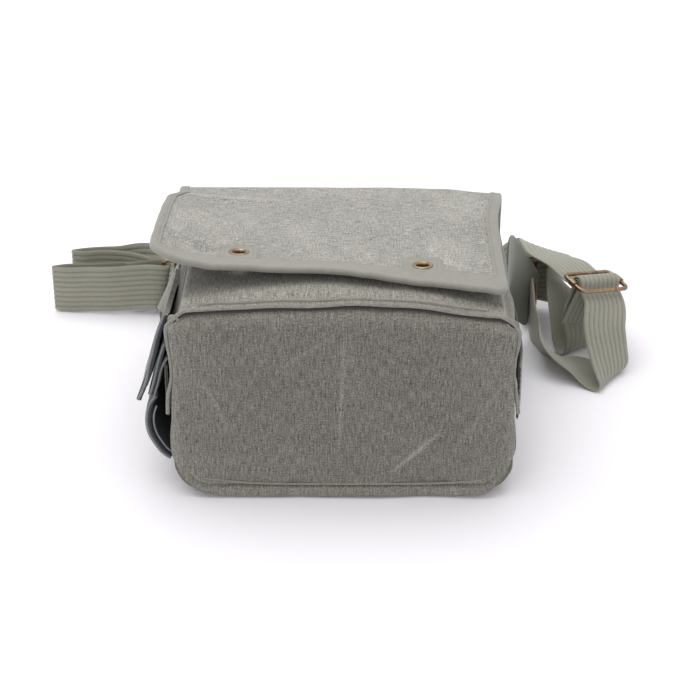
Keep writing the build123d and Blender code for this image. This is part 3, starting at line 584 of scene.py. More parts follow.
hem_wear = hem_wear + (1 - ease(above_foot / 3)) * 0.5
pocket_canvas = canvas("pocket_canvas", lin(138, 135, 127), fleck=0.65, wear=0.3)
pocket_cloths = [pocket_canvas, lining_cloth]
pocket = slab("front_pocket_panel", pocket_top, pocket_under, pocket_cloths, inside=1, wear=hem_wear)
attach(pocket, "case")
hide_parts("front_pocket")
side_ys = np.linspace(pocket_foot + 1, pocket_top_y, 40)
for name, column, way in (("left", 0, -1), ("right", -1, 1)):
    side_z = np.interp(side_ys, pocket_ys, pocket_top[column, :, 2]) + 1.0
    side_line = np.stack([way * (pocket_half - 0.8) + 0 * side_ys, side_ys, side_z], -1)
    section = round_section(1.5, 10, 0.75)
    pocket_hem = carried(f"pocket_hem_{name}", side_line, (1, 0, 0), section, [seam_canvas])
    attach(pocket_hem, "case")


# Lid. One piece of paler, softer canvas with a dark lining. It is sewn to the back edge of the mouth,
# folds forwards over the mouth and lies loosely on the front, with its left corner lifted.
lid_half, lid_thick = 112.0, 2.8
lid_u = np.array([0, 0.1, 0.3, 0.5, 0.7, 0.9, 1])
lid_sides = [
    (-112, 110.8), (-112, 110.6), (-112, 110.4), (-112, 110.2), (-113.5, 109.6), (-113.5, 108.6),
    (-112.8, 107.4), (-118.6, 106.2), (-120, 104.4), (-120.5, 102.5), (-121, 102), (-121, 102),
    (-120, 102.5),
]
lid_ys = [
    98.0, 98.2, 98.2, (97.5, 97.5, 97.5, 97, 96.5, 94, 92), (94, 94, 94, 93.5, 93, 89.5, 87.5),
    (82, 82, 82, 82, 82, 79, 77), (66, 66, 66, 66, 66, 64, 63), (59, 59, 59, 59, 59, 57, 56),
    (48, 48, 48, 48, 48, 46, 45), (30, 30, 30, 30, 30, 28.5, 28), (-5, -5, -5, -5.5, -6, -7.5, -8),
    (-40, -40, -40, -41, -44, -46, -47), (-68, -69, -66.5, -66.5, -73.5, -79.5, -82),
]
lid_zs = [
    3.2, 50, 100, 122, (130, 130, 130, 130, 130, 129, 128), (134, 133, 132.3, 132, 132, 131.5, 131.5),
    (138.6, 136.6, 134.6, 133.8, 133.8, 134, 134.4), (141.4, 138.0, 135.3, 134.5, 134.8, 135, 135.5),
    (143.6, 139.6, 136.6, 135.6, 135.6, 136, 136.4), (148, 143, 139, 137.8, 137.6, 138, 138.5),
    (153.5, 147.5, 143, 141.5, 140.8, 140.5, 140.5), (160, 152.5, 147.3, 145.6, 144.5, 143.3, 142.5),
    (166, 158.8, 154.0, 151.3, 149.3, 146.4, 144.5),
]
lid_columns = len(lid_u)
lid_grid = np.array([
    np.stack(np.broadcast_arrays(left + (right - left) * lid_u, y, z), -1)
    for (left, right), y, z in zip(lid_sides, lid_ys, lid_zs)
])
lid_b = run_of(lid_grid[:, 3])
lid_reach, lid_fold = lid_b[-1], lid_b[3]


def lid_ridge(a):
    """Running length of the lid at its worn ridge, which slants a little across it."""
    return lid_fold + 36.5 + 0.05 * (a + lid_half)


def cubic(knots, values, at):
    """Cubic Hermite interpolation along the first axis of values, its slopes those between
    neighbours, read at any array of places."""
    slope = np.gradient(values, knots, axis=0)
    k = step_of(knots, at)
    h = (knots[k + 1] - knots[k])[..., None]
    f = (at - knots[k])[..., None] / h
    return hermite(f, h, (values[k], values[k + 1]), (slope[k], slope[k + 1]))


def lid_surface(a, b):
    """Point of the lid's upper face, a millimetres right of its middle line and b along it from the
    back edge: cubic interpolation of the control grid both ways, plus a bulge and a hollow at the
    left corner, two worn ridges, and rolling folds."""
    a, b = np.broadcast_arrays(np.asarray(a, float), np.asarray(b, float))
    rows = cubic(lid_b, lid_grid.reshape(len(lid_b), -1), b).reshape(*b.shape, lid_columns, 3)
    slopes = np.gradient(rows, lid_u, axis=-2)
    spot = np.clip((a + lid_half) / (2 * lid_half), 0, 1)
    k = step_of(lid_u, spot)
    h = (lid_u[k + 1] - lid_u[k])[..., None]
    f = (spot - lid_u[k])[..., None] / h
    ends, ways = [
        [np.take_along_axis(grid, (k + more)[..., None, None], axis=-2)[..., 0, :] for more in (0, 1)]
        for grid in (rows, slopes)
    ]
    p = hermite(f, h, ends, ways)
    flat = np.stack([a, b, 0 * a], -1)
    free = ease((b - 140) / 60)
    to_end = b - lid_reach
    lump = 2.6 * bell((a + 98) / 14) * bell((to_end + 46 - 0.2 * (a + 98)) / 6.5)
    lump = lump - 3.2 * bell((a + 80) / 12) * bell((to_end + 33) / 6.5)
    lump = lump + 1.3 * bell((b - lid_ridge(a)) / 4.0) * ease((-15 - a) / 60)
    slant = (a - 40) * 0.8 + (b - lid_fold - 60) * 0.6
    lump = lump + 0.9 * bell(slant / 9) * bell((a - 60) / 40)
    folds = 0.9 * rolling(flat * [1, 0.7, 1], 55, 31) * free + 0.35 * rolling(flat, 19, 32)
    return p + np.stack([0 * a, 0.4 * folds * (1 - free), folds * free + lump], -1)


def lid_point(a, b, lift=0.0):
    """Lid surface moved by lift along its own normal, taken from points 0.5 mm to each side."""
    one = lid_surface(a + 0.5, b) - lid_surface(a - 0.5, b)
    two = lid_surface(a, b + 0.5) - lid_surface(a, b - 0.5)
    normal = np.cross(two, one)
    normal /= np.linalg.norm(normal, axis=-1, keepdims=True)
    return lid_surface(a, b) + normal * np.asarray(lift)[..., None]


lid_round_left, lid_round_right = 15.0, 7.0


def lid_end(a):
    """Running length of the lid at a distance across: its free corners are rounded off."""
    round_off = np.where(a < 0, lid_round_left, lid_round_right)
    near = np.clip(round_off - lid_half + np.abs(a), 0, None)
    return lid_reach - round_off + np.sqrt(round_off**2 - near**2)


lid_left = -lid_half + 22 * np.linspace(0, 1, 22) ** 1.5
lid_right = lid_half - 14 * np.linspace(1, 0, 16) ** 1.5
lid_a = np.concatenate([lid_left, np.linspace(-88, 96, 104), lid_right])
ga, gt = np.meshgrid(lid_a, np.linspace(0, 1, 210), indexing="ij")
gb = gt * lid_end(ga)
lid_top_face = lid_point(ga, gb)
lid_under_face = lid_point(ga, gb, -lid_thick)
lid_canvas = canvas("lid_canvas", lin(147, 145, 139), thread=0.8, fleck=0.6, wear=0.24, lean=0.35)
patches = ease(rolling(np.stack([ga, gb, 0 * ga], -1), 38, 77) * 1.6)
fold_wear = 1.3 * bell((gb - lid_ridge(ga)) / 2.6) * ease((-10 - ga) / 60)
fold_wear = fold_wear + 0.5 * bell((gb - lid_fold - 3) / 5) + 0.5 * patches
lid_cloths, lid_flat = [lid_canvas, lining_cloth], np.stack([ga, gb], -1)
lid = slab("lid", lid_top_face, lid_under_face, lid_cloths, lid_flat, inside=1, wear=fold_wear)


def finish(made):
    """The object's mesh with its modifiers applied."""
    graph = bpy.context.evaluated_depsgraph_get()
    done = bpy.data.meshes.new_from_object(made.evaluated_get(graph))
    made.modifiers.clear()
    made.data = done


def bored(owner, holes, radius):
    """Cuts round holes through a cloth: an exact boolean with one thin cylinder at each place and
    normal, applied at once."""
    for place, normal in holes:
        side = np.cross(normal, (0.0, 1.0, 0.0))
        side /= np.linalg.norm(side)
        up = np.cross(normal, side)
        turn = np.linspace(0, 2 * np.pi, 32, endpoint=False)
        ring = place + radius * (np.cos(turn)[:, None] * side + np.sin(turn)[:, None] * up)
        ends = np.concatenate([ring - 9 * normal, ring + 9 * normal])
        faces = quads(2, 32, 0)[:, [0, 3, 2, 1]].tolist()
        faces += [[31, 0, 32, 63], list(range(31, -1, -1)), list(range(32, 64))]
        tool = piece("tool", ends, faces, ends[:, :2], [lining_cloth])
        cut = owner.modifiers.new("hole", "BOOLEAN")
        cut.operation, cut.solver, cut.object = "DIFFERENCE", "EXACT", tool
        finish(owner)
        bpy.data.objects.remove(tool)
    owner.data.set_sharp_from_angle(angle=np.radians(50))


eyelet_at = np.array([(-58.0, lid_reach - 28.0), (60.5, lid_reach - 20.5)])
on_lid, over_lid = lid_point(*eyelet_at.T), lid_point(*eyelet_at.T, 1.0)
eyelet_places = list(zip(on_lid, over_lid - on_lid))
bored(lid, eyelet_places, 4.6)
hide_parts("lid_top", "lid_front", "lid_lining_top", "lid_lining_front")
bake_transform(lid)


# Binding of the lid. Smooth twill tape folded round both sides and the free edge, wider along the
# free edge, and sewn through with a row of short stitches near its inner edge. Its skin lies on a core
# that follows the lid.
def twill(name, colour):
    """Twill tape: fine diagonal ribs, a soft mottle, and rows of stitches as short dark dips where
    the row attribute is 1."""
    made, shader = material(name, colour, 0.82, 0.25)
    place = node(made, "ShaderNodeUVMap", uv_map="UVMap").outputs[0]
    split = node(made, "ShaderNodeSeparateXYZ", Vector=place)
    slant = summed(made, split.outputs[0], (split.outputs[1], 0.8))
    rib = math(made, "SINE", math(made, "MULTIPLY", slant, 2 * np.pi / 0.0007))
    mottle = stretched(made, place, (120, 120, 1), 3.0)
    thread = stretched(made, place, (1300, 260, 1), 1.0)
    dash = math(made, "SINE", math(made, "MULTIPLY", split.outputs[1], 2 * np.pi / 0.0032))
    line = node(made, "ShaderNodeAttribute", attribute_name="row").outputs["Fac"]
    stitch = math(made, "MULTIPLY", math(made, "GREATER_THAN", dash, -0.35), line)
    share = summed(made, 0.89, (mottle, 0.16), (thread, 0.22, 0.5), (stitch, -0.22))
    tinted(made, shader, colour, share)
    bumped(made, shader, summed(made, math(made, "MULTIPLY", rib, 0.25), (stitch, -2.5)), 0.5, 0.0002)
    return made


binding_twill = twill("binding_twill", lin(140, 138, 130))
binding_left, binding_right, binding_front, binding_gap = 4.4, 6.0, 16.0, 0.75
left_b = np.linspace(4, lid_reach - lid_round_left, 110)
right_b = np.linspace(4, lid_reach - lid_round_right, 110)
bend = np.linspace(0, np.pi / 2, 12)[1:-1]
front_left, front_right = lid_round_left - lid_half, lid_half - lid_round_right
edge_a = np.concatenate([
    -lid_half + 0 * left_b,
    front_left - lid_round_left * np.cos(bend),
    np.linspace(front_left, front_right, 90),
    front_right + lid_round_right * np.sin(bend),
    lid_half + 0 * right_b,
])
edge_b = np.concatenate([
    left_b,
    lid_reach - lid_round_left + lid_round_left * np.sin(bend),
    np.full(90, lid_reach),
    lid_reach - lid_round_right + lid_round_right * np.cos(bend),
    right_b[::-1],
])
step_a, step_b = np.gradient(edge_a), np.gradient(edge_b)
size = np.hypot(step_a, step_b)
width = np.where(edge_a < 0, binding_left, binding_right)
width = width + (binding_front - width) * ease((edge_b - lid_reach + binding_front) / 14)


def on_binding(inset, lift):
    """Points on the lid at insets from its edge, square to the edge, moved by lift along its normal."""
    a = edge_a[:, None] + (step_b / size)[:, None] * inset
    b = edge_b[:, None] - (step_a / size)[:, None] * inset
    return lid_point(a, b, lift + 0 * inset)


top_in = width[:, None] * np.linspace(1, 0, 16) ** 1.3
under_in = top_in[:, ::-1] * 0.8
over, below = on_binding(top_in, binding_gap), on_binding(under_in, -lid_thick - binding_gap)
middle, half = (over[:, -1] + below[:, 0]) / 2, (over[:, -1] - below[:, 0]) / 2
outer = over[:, -1] - over[:, -3]
outer /= np.linalg.norm(outer, axis=1, keepdims=True)
turn = np.linspace(0, np.pi, 9)[1:-1, None]
rolled = middle[:, None] + half[:, None] * np.cos(turn) + outer[:, None] * 2.0 * np.sin(turn)
skin = np.concatenate([over, rolled, below], axis=1)
core_over, core_below = on_binding(top_in, 0.1), on_binding(under_in, -lid_thick - 0.1)
core = np.concatenate([core_over, np.repeat(middle[:, None], 7, axis=1), core_below], axis=1)
turn_length = np.concatenate([top_in, np.zeros((len(width), 7)), top_in[:, ::-1]], axis=1)
run_length = np.cumsum(size)[:, None] - size[0] + 0 * turn_length
row = bell((turn_length - width[:, None] + 1.8) / 0.5)
binding_flat = np.stack([turn_length, run_length], -1)
binding = slab("lid_binding", skin, core, [binding_twill], binding_flat, row=row)
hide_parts("lid_binding_front", "lid_binding_top")
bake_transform(binding)


# Eyelets. Two pressed brass rings near the free edge, each through a sewn square of canvas that backs
# the hole. The flange is rounded, a short barrel lines the hole, and two rows of stitches hold the patch.
def brass(name, colour=(0.31, 0.225, 0.14, 1.0)):
    """Aged brass: metal whose colour darkens and roughens in patches of fine noise."""
    made, shader = material(name, colour, 0.34, 0.0)
    shader.inputs["Metallic"].default_value = 1.0
    shader.inputs["Specular IOR Level"].default_value = 0.5
    place = node(made, "ShaderNodeTexCoord").outputs["Object"]
    stain = stretched(made, place, (260, 260, 260), 4.0)
    fine = stretched(made, place, (1800, 1800, 1800), 2.0)
    tinted(made, shader, colour, summed(made, 0.05, (stain, 1.7)))
    feed(made, shader.inputs["Roughness"], summed(made, 0.44, (stain, -0.2)))
    bumped(made, shader, fine, 0.2, 0.0001)
    return made


aged_brass = brass("aged_brass")
hole_edge, patch_half, patch_corner = 4.7, 13.5, 17.0
barrel = [(4.15, 0.7), (4.05, -0.5), (4.0, -2.6), (3.9, -3.2)]
under_flange = [(3.75, -3.6), (6.0, -3.6), (6.3, -3.2), (6.0, -2.9), (4.75, -2.9)]
flange = [(4.75, 0.6), (6.2, 0.7), (6.75, 0.95), (6.7, 1.3), (6.1, 1.65), (5.2, 1.7), (4.5, 1.35)]
profile = np.array(under_flange + flange + barrel)
square = np.linspace(0, 2 * np.pi, 128, endpoint=False)[:, None]
round_turn = np.linspace(0, 2 * np.pi, 48, endpoint=False)[:, None]
for name, (a, b), (place, normal) in zip(("left", "right"), eyelet_at, eyelet_places):
    reach = patch_half / np.maximum(np.abs(np.cos(square)), np.abs(np.sin(square)))
    share = np.linspace(0, 1, 22)[None]
    radius = hole_edge + (np.minimum(reach, patch_corner) - hole_edge) * share
    patch_a = a + radius * np.cos(square)
    patch_b = b + radius * np.sin(square)
    lift = 0.75 * np.clip((1 - share) * 14, 0.1, 1) + 0 * radius
    from_edge = patch_half - np.maximum(np.abs(patch_a - a), np.abs(patch_b - b))
    row = np.clip(bell((from_edge - 1.6) / 0.45) + bell((from_edge - 4.2) / 0.45), 0, 1)
    patch_top, patch_under = lid_point(patch_a, patch_b, lift), lid_point(patch_a, patch_b, 0 * lift - 0.2)
    patch_twill = twill(f"patch_twill_{name}", lin(142, 140, 132))
    patch_flat = np.stack([patch_a, patch_b], -1)
    patch_name = f"eyelet_patch_{name}"
    patch = slab(patch_name, patch_top, patch_under, [patch_twill], patch_flat, wrap=True, row=row)
    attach(patch, "lid_front")
    side = np.cross(normal, (0.0, 1.0, 0.0))
    side /= np.linalg.norm(side)
    spokes = np.cos(round_turn) * side + np.sin(round_turn) * np.cross(side, normal)
    points = place + spokes[:, None] * profile[None, :, :1] + normal * profile[None, :, 1:]
    points = points.reshape(-1, 3)
    count = len(profile)
    faces = quads(48, count + 1, 0, wrap=True)
    faces = faces // (count + 1) * count + faces % (count + 1) % count
    eyelet = piece(f"eyelet_ring_{name}", points, faces.tolist(), points[:, :2], [aged_brass], sharp=60)
    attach(eyelet, "lid_front")
    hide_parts(f"eyelet_{name}")
    if name == "left":
        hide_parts("eyelet_patches")


# Strap. Cotton webbing, 38 mm wide, woven with nine ribs. Its long piece lies folded up on the left,
# crosses the ground past the mouth and rises to the slider on the right. Its short piece goes round the
# slider, hangs in a loop, and turns round the right ring.
web_width, web_thick, ribs, rib_depth = 38.0, 1.9, 9, 0.6


def webbing_cloth(name, colour):
    """Cotton webbing: crosswise threads as fine lines, a soft mottle along the length, and painted
    shade that darkens the grooves between the ribs, read from an attribute of the mesh."""
    made, shader = material(name, colour, 0.86, 0.3)
    place = node(made, "ShaderNodeUVMap", uv_map="UVMap").outputs[0]
    mottle = stretched(made, place, (90, 30, 1), 3.0)
    pick = stretched(made, place, (160, 1500, 1), 1.0)
    grain = stretched(made, place, (1400, 500, 1), 1.0)
    groove = node(made, "ShaderNodeAttribute", attribute_name="groove").outputs["Fac"]
    share = summed(made, 0.9, (mottle, 0.18), (pick, 0.2, 0.5), (grain, 0.14, 0.5), (groove, -0.3))
    tinted(made, shader, colour, share)
    bumped(made, shader, summed(made, pick, (grain, 0.6)), 0.35, 0.0002)
    return made


def webbing(name, stations, ribbed, nodes, cloth):
    """Webbing along stations of (point, direction across): a smooth line through them carries a
    ribbed profile. ribbed lists (first station, share of the ribs' depth outside, inside)."""
    depths = np.zeros((len(stations), 2))
    for first, plus, minus in ribbed:
        depths[first:] = plus, minus
    ways = np.array([way for _, way in stations], float)
    ways /= np.linalg.norm(ways, axis=1, keepdims=True)
    packed = along(np.hstack([[point for point, _ in stations], ways, depths]), 2.0)
    line, way = packed[:, :3], packed[:, 3:6]
    plus, minus = np.clip(packed[:, 6:7], 0, 1), np.clip(packed[:, 7:8], 0, 1)
    way = way / np.linalg.norm(way, axis=1, keepdims=True)
    level = np.sqrt(np.clip(1 - way[:, 2] ** 2, 0, 1))
    need = web_width / 2 * np.abs(way[:, 2]) + web_thick / 2 * level + 0.15
    line[:, 2] = np.maximum(line[:, 2], need)
    run = run_of(line)
    u = np.linspace(-1, 1, ribs * 8 + 1)
    crest = np.abs(np.sin(np.pi * ribs * (u + 1) / 2)) ** 0.55
    rim = np.sqrt(np.clip(1 - np.abs(u) ** 14, 0, 1)) * 0.75 + 0.25
    upper = web_thick / 2 * rim - plus * rib_depth * (1 - crest)
    lower = -web_thick / 2 * rim + minus * rib_depth * (1 - crest)
    across = np.broadcast_to(u * web_width / 2, upper.shape)
    section = [np.stack([across, upper], -1), np.stack([across, lower], -1)[:, ::-1]]
    section = np.concatenate(section, axis=1)
    inner_face = np.arange(section.shape[1]) >= len(u)
    flat = np.stack(np.broadcast_arrays(section[..., 0] + 40 * inner_face, run[:, None]), -1)
    # Painted shade: how far the colour darkens in the grooves between the ribs, kept as an attribute.
    groove = np.concatenate([plus * (1 - crest), (minus * (1 - crest))[:, ::-1]], axis=1)
    made = tube(name, line, way, section, flat, [cloth], sharp=80, groove=groove)
    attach(made, "case")
    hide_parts(*nodes)


def turn_round(centre, start, middle, across, quarters=2):
    """Stations round a centre, four to a quarter turn, from the start arm through the middle arm,
    all with one direction across."""
    turns = np.linspace(0, quarters * np.pi / 2, 4 * quarters + 1)[:, None]
    return [(spot, across) for spot in centre + start * np.cos(turns) + middle * np.sin(turns)]


def plane(origin, x_way, z_way):
    """Origin and unit x, y and z directions, with x made square to z."""
    z = np.array(z_way, float) / np.linalg.norm(z_way)
    x = np.array(x_way, float) - z * np.dot(x_way, z)
    x /= np.linalg.norm(x)
    return np.array(origin, float), x, np.cross(z, x), z


left_ring, lx, _, lz = plane((-134.5, 143, 23.5), (-0.9798, 0, 0.2), (0.2, 0, 0.9798))
right_ring, rx, ry, rz = plane((140, 142, 26), (1, 0, 0), (0, -0.0797, 0.9968))
slider, sx, sy, sz = plane((182, 81, 61), (0.8163, 0.5311, -0.2272), (0.2682, 0, 0.9634))
bar_out, strap_turn, side_turn, roll_turn, tail_turn = 5.5, 5.0, 2.85, 4.7, 2.6
strap_cloth = webbing_cloth("strap_webbing", lin(148, 147, 133))
up_way = (0, 0, 1)


def by_slider(front, over):
    """Point beside the slider's middle bar, towards its front bar and over its frame."""
    return slider - sy * front + sz * over


bar = left_ring + lx * bar_out
near, down = np.array([0, -1.0, 0]), np.array([0, 0, -1.0])
loop = [(bar + lx * 24 - near * 0.5 + down * 5.5, up_way), (bar + lx * 12 - near * 3.6 + down * 2.6, lz)]
loop += turn_round(bar, -near * strap_turn, -lx * strap_turn, lz)
loop += [(bar + lx * 11 + near * 4.4 + down * 2.4, lz), (bar + lx * 22 + near * 3.7 + down * 5.6, up_way)]
folded = [
    ((-176, 139.6, 22.2), up_way), ((-195, 142.2, 20.8), up_way), ((-212, 143.2, 20), up_way),
    ((-221, 145.4, 20), up_way), ((-214, 148.0, 20), up_way), ((-190, 150, 20), up_way),
    ((-165, 152.5, 20), up_way), ((-146, 153.5, 20), up_way), ((-140, 156, 20), up_way),
    ((-146, 158.5, 20), up_way), ((-155, 164, 20), up_way), ((-168, 169, 20), up_way),
    ((-186, 171, 20), up_way), ((-202, 169.5, 20), up_way), ((-209, 171.5, 20), up_way),
    ((-202, 174, 20), up_way), ((-188, 176.5, 20), up_way), ((-172, 177.5, 20), up_way),
    ((-157, 178.5, 20), (0, 0.3, 1)), ((-143, 179.5, 17), (0, 0.7, 0.75)), ((-130, 180, 9), (0, 0.93, 0.35)),
    ((-114, 180, 1.1), (0, 1, 0)),
]
ground = [
    ((-106, 179.5, 1.1), (0, 1, 0)), ((-40, 177, 1.1), (0, 1, 0)), ((40, 180, 1.1), (0, 1, 0)),
    ((106, 184, 1.1), (0, 1, 0)), ((114, 185, 1.1), (0, 1, 0)),
]
rise = [
    ((126, 188, 3), (0, 0.9, 0.4)), ((137, 189, 18), (-0.1, 0.45, 0.9)),
    ((146.5, 182, 25), (-0.4, 0.05, 0.92)), ((150, 167, 40), (-0.72, -0.1, 0.68)),
    ((151, 147, 52.5), (-0.93, -0.12, 0.35)), ((154, 127, 57.5), (-0.92, -0.3, 0.25)),
    (by_slider(-30, -5), -sx), (by_slider(-20.5, -5.1), -sx), (by_slider(-10, -5.1), -sx),
    (by_slider(-5.6, -3), -sx), (by_slider(-4.7, 0), -sx),
]
ribbed = [(0, 0, 1), (len(loop) + 17, 1, 1), (len(loop) + 22, 1, 0.7)]
long_nodes = ["strap_left_outer", "strap_left_middle", "strap_left_inner", "strap_left_twist"]
long_nodes += ["strap_back", "strap_rise"]
webbing("strap_long", loop + folded + ground + rise, ribbed, long_nodes, strap_cloth)

bar = right_ring + rx * bar_out
roll = turn_round(slider, sy * roll_turn, sz * roll_turn, sx)
hanging = [
    (by_slider(5.6, -3), sx), (by_slider(10, -5.1), sx), (by_slider(14.5, -7.6), sx),
    ((187, 55, 38), (0.84, 0.52, -0.15)), ((190.5, 48, 20), (0.76, 0.64, -0.05)),
    ((192.5, 43, 9), (0.66, 0.75, 0)), ((192.3, 42.2, 5), (0.6, 0.8, 0)),
    ((190.6, 42.8, 2.4), (0.56, 0.83, 0)), ((187.5, 44.4, 1), (0.56, 0.83, 0)),
    ((172, 53.5, 1), (0.5, 0.84, -0.2)), ((158, 59, 1), (0.3, 0.85, -0.42)),
    ((148, 68, 1), (0.1, 0.8, -0.6)), ((142, 87, 1), (0, 0.5, -0.87)),
    ((139.5, 110, 25), (0, 0.15, -1)), ((139.8, 125, 26), (0, 0, -1)),
]
round_ring = turn_round(bar, -rx * strap_turn, ry * strap_turn, -rz, quarters=1)
inner = [
    ((153, 146, 27), (0, -0.05, -1)), ((160, 142, 28), (0.1, 0, -1)), ((164, 134, 31), (0.35, 0.1, -0.93)),
    ((165, 126, 34), (0.6, 0.25, -0.75)), ((165.5, 118, 35.5), (0.75, 0.38, -0.52)),
    ((166, 110, 33), (0.82, 0.46, -0.28)), ((167, 103, 26.5), (0.84, 0.52, -0.1)),
    ((168.5, 98, 16.5), (0.84, 0.54, 0)), ((170, 94, 7), (0.84, 0.54, 0)),
    ((172.5, 90.5, 2.4), (0.84, 0.54, 0)), ((175.3, 87.5, 2.6), (0.84, 0.54, 0)),
    ((177.4, 85.5, 7), (0.84, 0.54, 0)),
    ((178, 85, 16), (0.83, 0.53, -0.08)), (by_slider(-2.6, -22), sx), (by_slider(-2.6, -10), sx),
]
tail = turn_round(slider, sy * tail_turn, sz * tail_turn, sx)
tail += [(by_slider(2.4, -10), sx), (by_slider(1.2, -22), sx), (by_slider(0.6, -34), sx)]
before = len(roll) + len(hanging)
ribbed = [(0, 1, 0), (before - 3, 0, 0), (before + 3, 0, 1), (before + 9, 0.2, 0.6), (before + 16, 0.8, 0.6)]
short_nodes = ["strap_front_loop", "strap_inner_loop"]
short_stations = roll + hanging + round_ring + inner + tail
webbing("strap_short", short_stations, ribbed, short_nodes, strap_cloth)


# Side webbing. A shorter length on each side is sewn down the case, springs off it near the mouth and
# goes round the inner bar of its ring, where it is sewn back on itself.
# Painted shade: this olive is darker than the side webbing's own colour, to stand for the shadow on the bag's
# right side, and both sides share it.
side_cloth_with_painted_shade = webbing_cloth("side_cloth_with_painted_shade", lin(104, 106, 93))
sewn_left = [
    ((-112.6, -90, 76), up_way), ((-116.0, -62, 75), up_way), ((-114.0, -20, 76), up_way),
    ((-111.6, 20, 76), up_way), ((-118.5, 42, 74), (0.25, 0, 0.95)), ((-124.5, 66, 66), (0.42, 0.1, 0.9)),
    ((-127.5, 92, 50), (0.36, 0.15, 0.92)),
]
sewn_right = [
    ((112.4, -90, 74), up_way), ((116.0, -62, 72), up_way), ((114.5, -20, 76), up_way),
    ((111.6, 5, 78), up_way), ((114.0, 40, 82), (0, 0.1, 1)), ((117, 72, 80), (0.05, 0.35, 0.95)),
    ((122.5, 100, 66), (0.1, 0.5, 0.88)),
]
left_way, right_way = (left_ring, lx, np.array([0, 1.0, 0]), lz), (right_ring, rx, ry, rz)
for name, (ring, out, far, across), sewn, free in (
    ("left", left_way, sewn_left, 5), ("right", right_way, sewn_right, 4)
):
    bar = ring - out * bar_out
    stations = sewn + [(bar - far * 22 + out * 3.2, across), (bar - far * 8 + out * side_turn, across)]
    stations += turn_round(bar, out * side_turn, far * side_turn, across)
    stations += [(bar - far * 9 - out * 2.4, across), (bar - far * 24 - out * 0.6, across)]
    ribbed, nodes = [(0, 1, 1), (free, 0, 0)], [f"side_webbing_{name}"]
    webbing(f"side_strap_{name}", stations, ribbed, nodes, side_cloth_with_painted_shade)


# Side pocket on the left. A pouch of canvas with a dark lining bulges from the side, and above its
# mouth hang a lip and a long flap, all with thick turned edges.
leaf_canvas = canvas("leaf_canvas", lin(117, 116, 109), fleck=0.6, wear=0.35)
edge_canvas = canvas("edge_canvas", lin(128, 130, 127), thread=0.6, fleck=0.3, wear=0.3)
deep_lining = canvas("deep_lining", lin(58, 65, 74), thread=0.5, fleck=0.3, wear=0.0)


def side_line(curve):
    """Smooth line through a curve of (x, z) down the side, and its directions away from the case."""
    line = along(curve, 1.2)
    run = np.gradient(line, axis=0)
    run /= np.linalg.norm(run, axis=1, keepdims=True)
    outer = np.stack([run[:, 1], -run[:, 0]], -1)
    return line, outer * np.where(outer[:, :1] > 0, -1, 1)


def leaf(name, curve, first_y, last_y, thick, seed, spread=(0.0, 0.0, 0.0)):
    """Leaf of cloth hanging along the side: a smooth curve of (x, z) at its foot, carried up along
    the bag, with canvas outside and lining inside. spread moves its far end out at the foot, down at
    the foot, and down at the top. Its free edges are turned in and sewn down."""
    line, outer = side_line(curve)
    ys = np.linspace(first_y, last_y, 130)
    share = (ys - first_y)[None] / (last_y - first_y)
    depth = np.linspace(0, 1, len(line))[:, None]
    shift = share * spread[0] * depth
    fall = share * (spread[1] * depth + spread[2] * (1 - depth))
    spot = np.stack(np.broadcast_arrays(0 * ys[None], ys[None], line[:, 1:]), -1)
    lump = 0.7 * rolling(spot, 30, seed) * depth
    top = np.stack(np.broadcast_arrays(line[:, :1] + shift + lump, ys[None], line[:, 1:] + fall), -1)
    normal = np.stack([outer[:, 0], 0 * outer[:, 0], outer[:, 1]], -1)[:, None]
    length = run_of(line)[:, None]
    to_edge = np.minimum(length[-1] - length, (last_y - ys)[None])
    to_edge = np.minimum(to_edge, (ys - first_y)[None] + 2)
    turned = 1 - ease((to_edge - 7) / 1.2)
    top = top + normal * (0.7 * turned - 0.45 * bell((to_edge - 5.4) / 0.7))[..., None]
    worn = 0.5 * turned + 0.9 * (1 - ease(to_edge / 1.6))
    half, cloths = normal * thick / 2, [leaf_canvas, deep_lining]
    return slab(name, top + half, top - half, cloths, inside=1, rim=(1, 0, 0, 0), wear=worn)


def hem(name, curve, y, radius, thick):
    """Turned edge along the outer side of a leaf's near end."""
    line, outer = side_line(curve)
    line = line + outer * (thick / 2 - radius * 0.4)
    line = np.column_stack([line[:, 0], np.full(len(line), y), line[:, 1]])
    made = carried(name, line, (0, 1, 0), round_section(radius), [edge_canvas])
    return made


flap_curve = [
    (-110.6, 131.5), (-113.6, 124), (-117.0, 114), (-119.5, 104), (-122, 95), (-124.8, 83),
    (-128.2, 74), (-130.6, 68.5),
]
lip_curve = [(-111.9, 110), (-115.7, 99), (-117.8, 91), (-120.9, 79), (-123.0, 72)]
second_lip = [(-110.9, 99), (-114.2, 93.5), (-117.8, 81), (-120.8, 70.5)]
pouch_curve = [
    (-112.6, 23.5), (-116.2, 26.2), (-121.7, 34.4), (-125.0, 42.0), (-126.3, 49.5), (-125.8, 57.0),
    (-123.7, 64), (-119.9, 70),
]
flap = leaf("side_flap", flap_curve, -90, 6, 3.2, 9, (5, -2, -20))
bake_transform(flap)
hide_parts("side_pocket_flap")
edge = hem("side_flap_hem", flap_curve, -90, 0.9, 3.2)
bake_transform(edge)
lip = leaf("side_lip", lip_curve, -89, 6, 2.8, 8, (3, -2, 0))
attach(lip, "case")
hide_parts("side_pocket_lip")
second = leaf("side_lip_inner", second_lip, -88, 6, 2.0, 14, (3, -2, 0))
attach(second, "case")
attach(hem("side_lip_hem", lip_curve, -89, 0.8, 2.8), "case")
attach(hem("side_lip_inner_hem", second_lip, -88, 0.7, 2.0), "case")
pouch = leaf("side_pouch", pouch_curve, -88, 22, 3.0, 10)
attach(pouch, "case")
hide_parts("side_pocket")
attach(hem("side_pouch_hem", pouch_curve, -88, 0.9, 3.0), "case")
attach(hem("side_pouch_fold", pouch_curve[:-1], -87.6, 0.6, -6.5), "case")


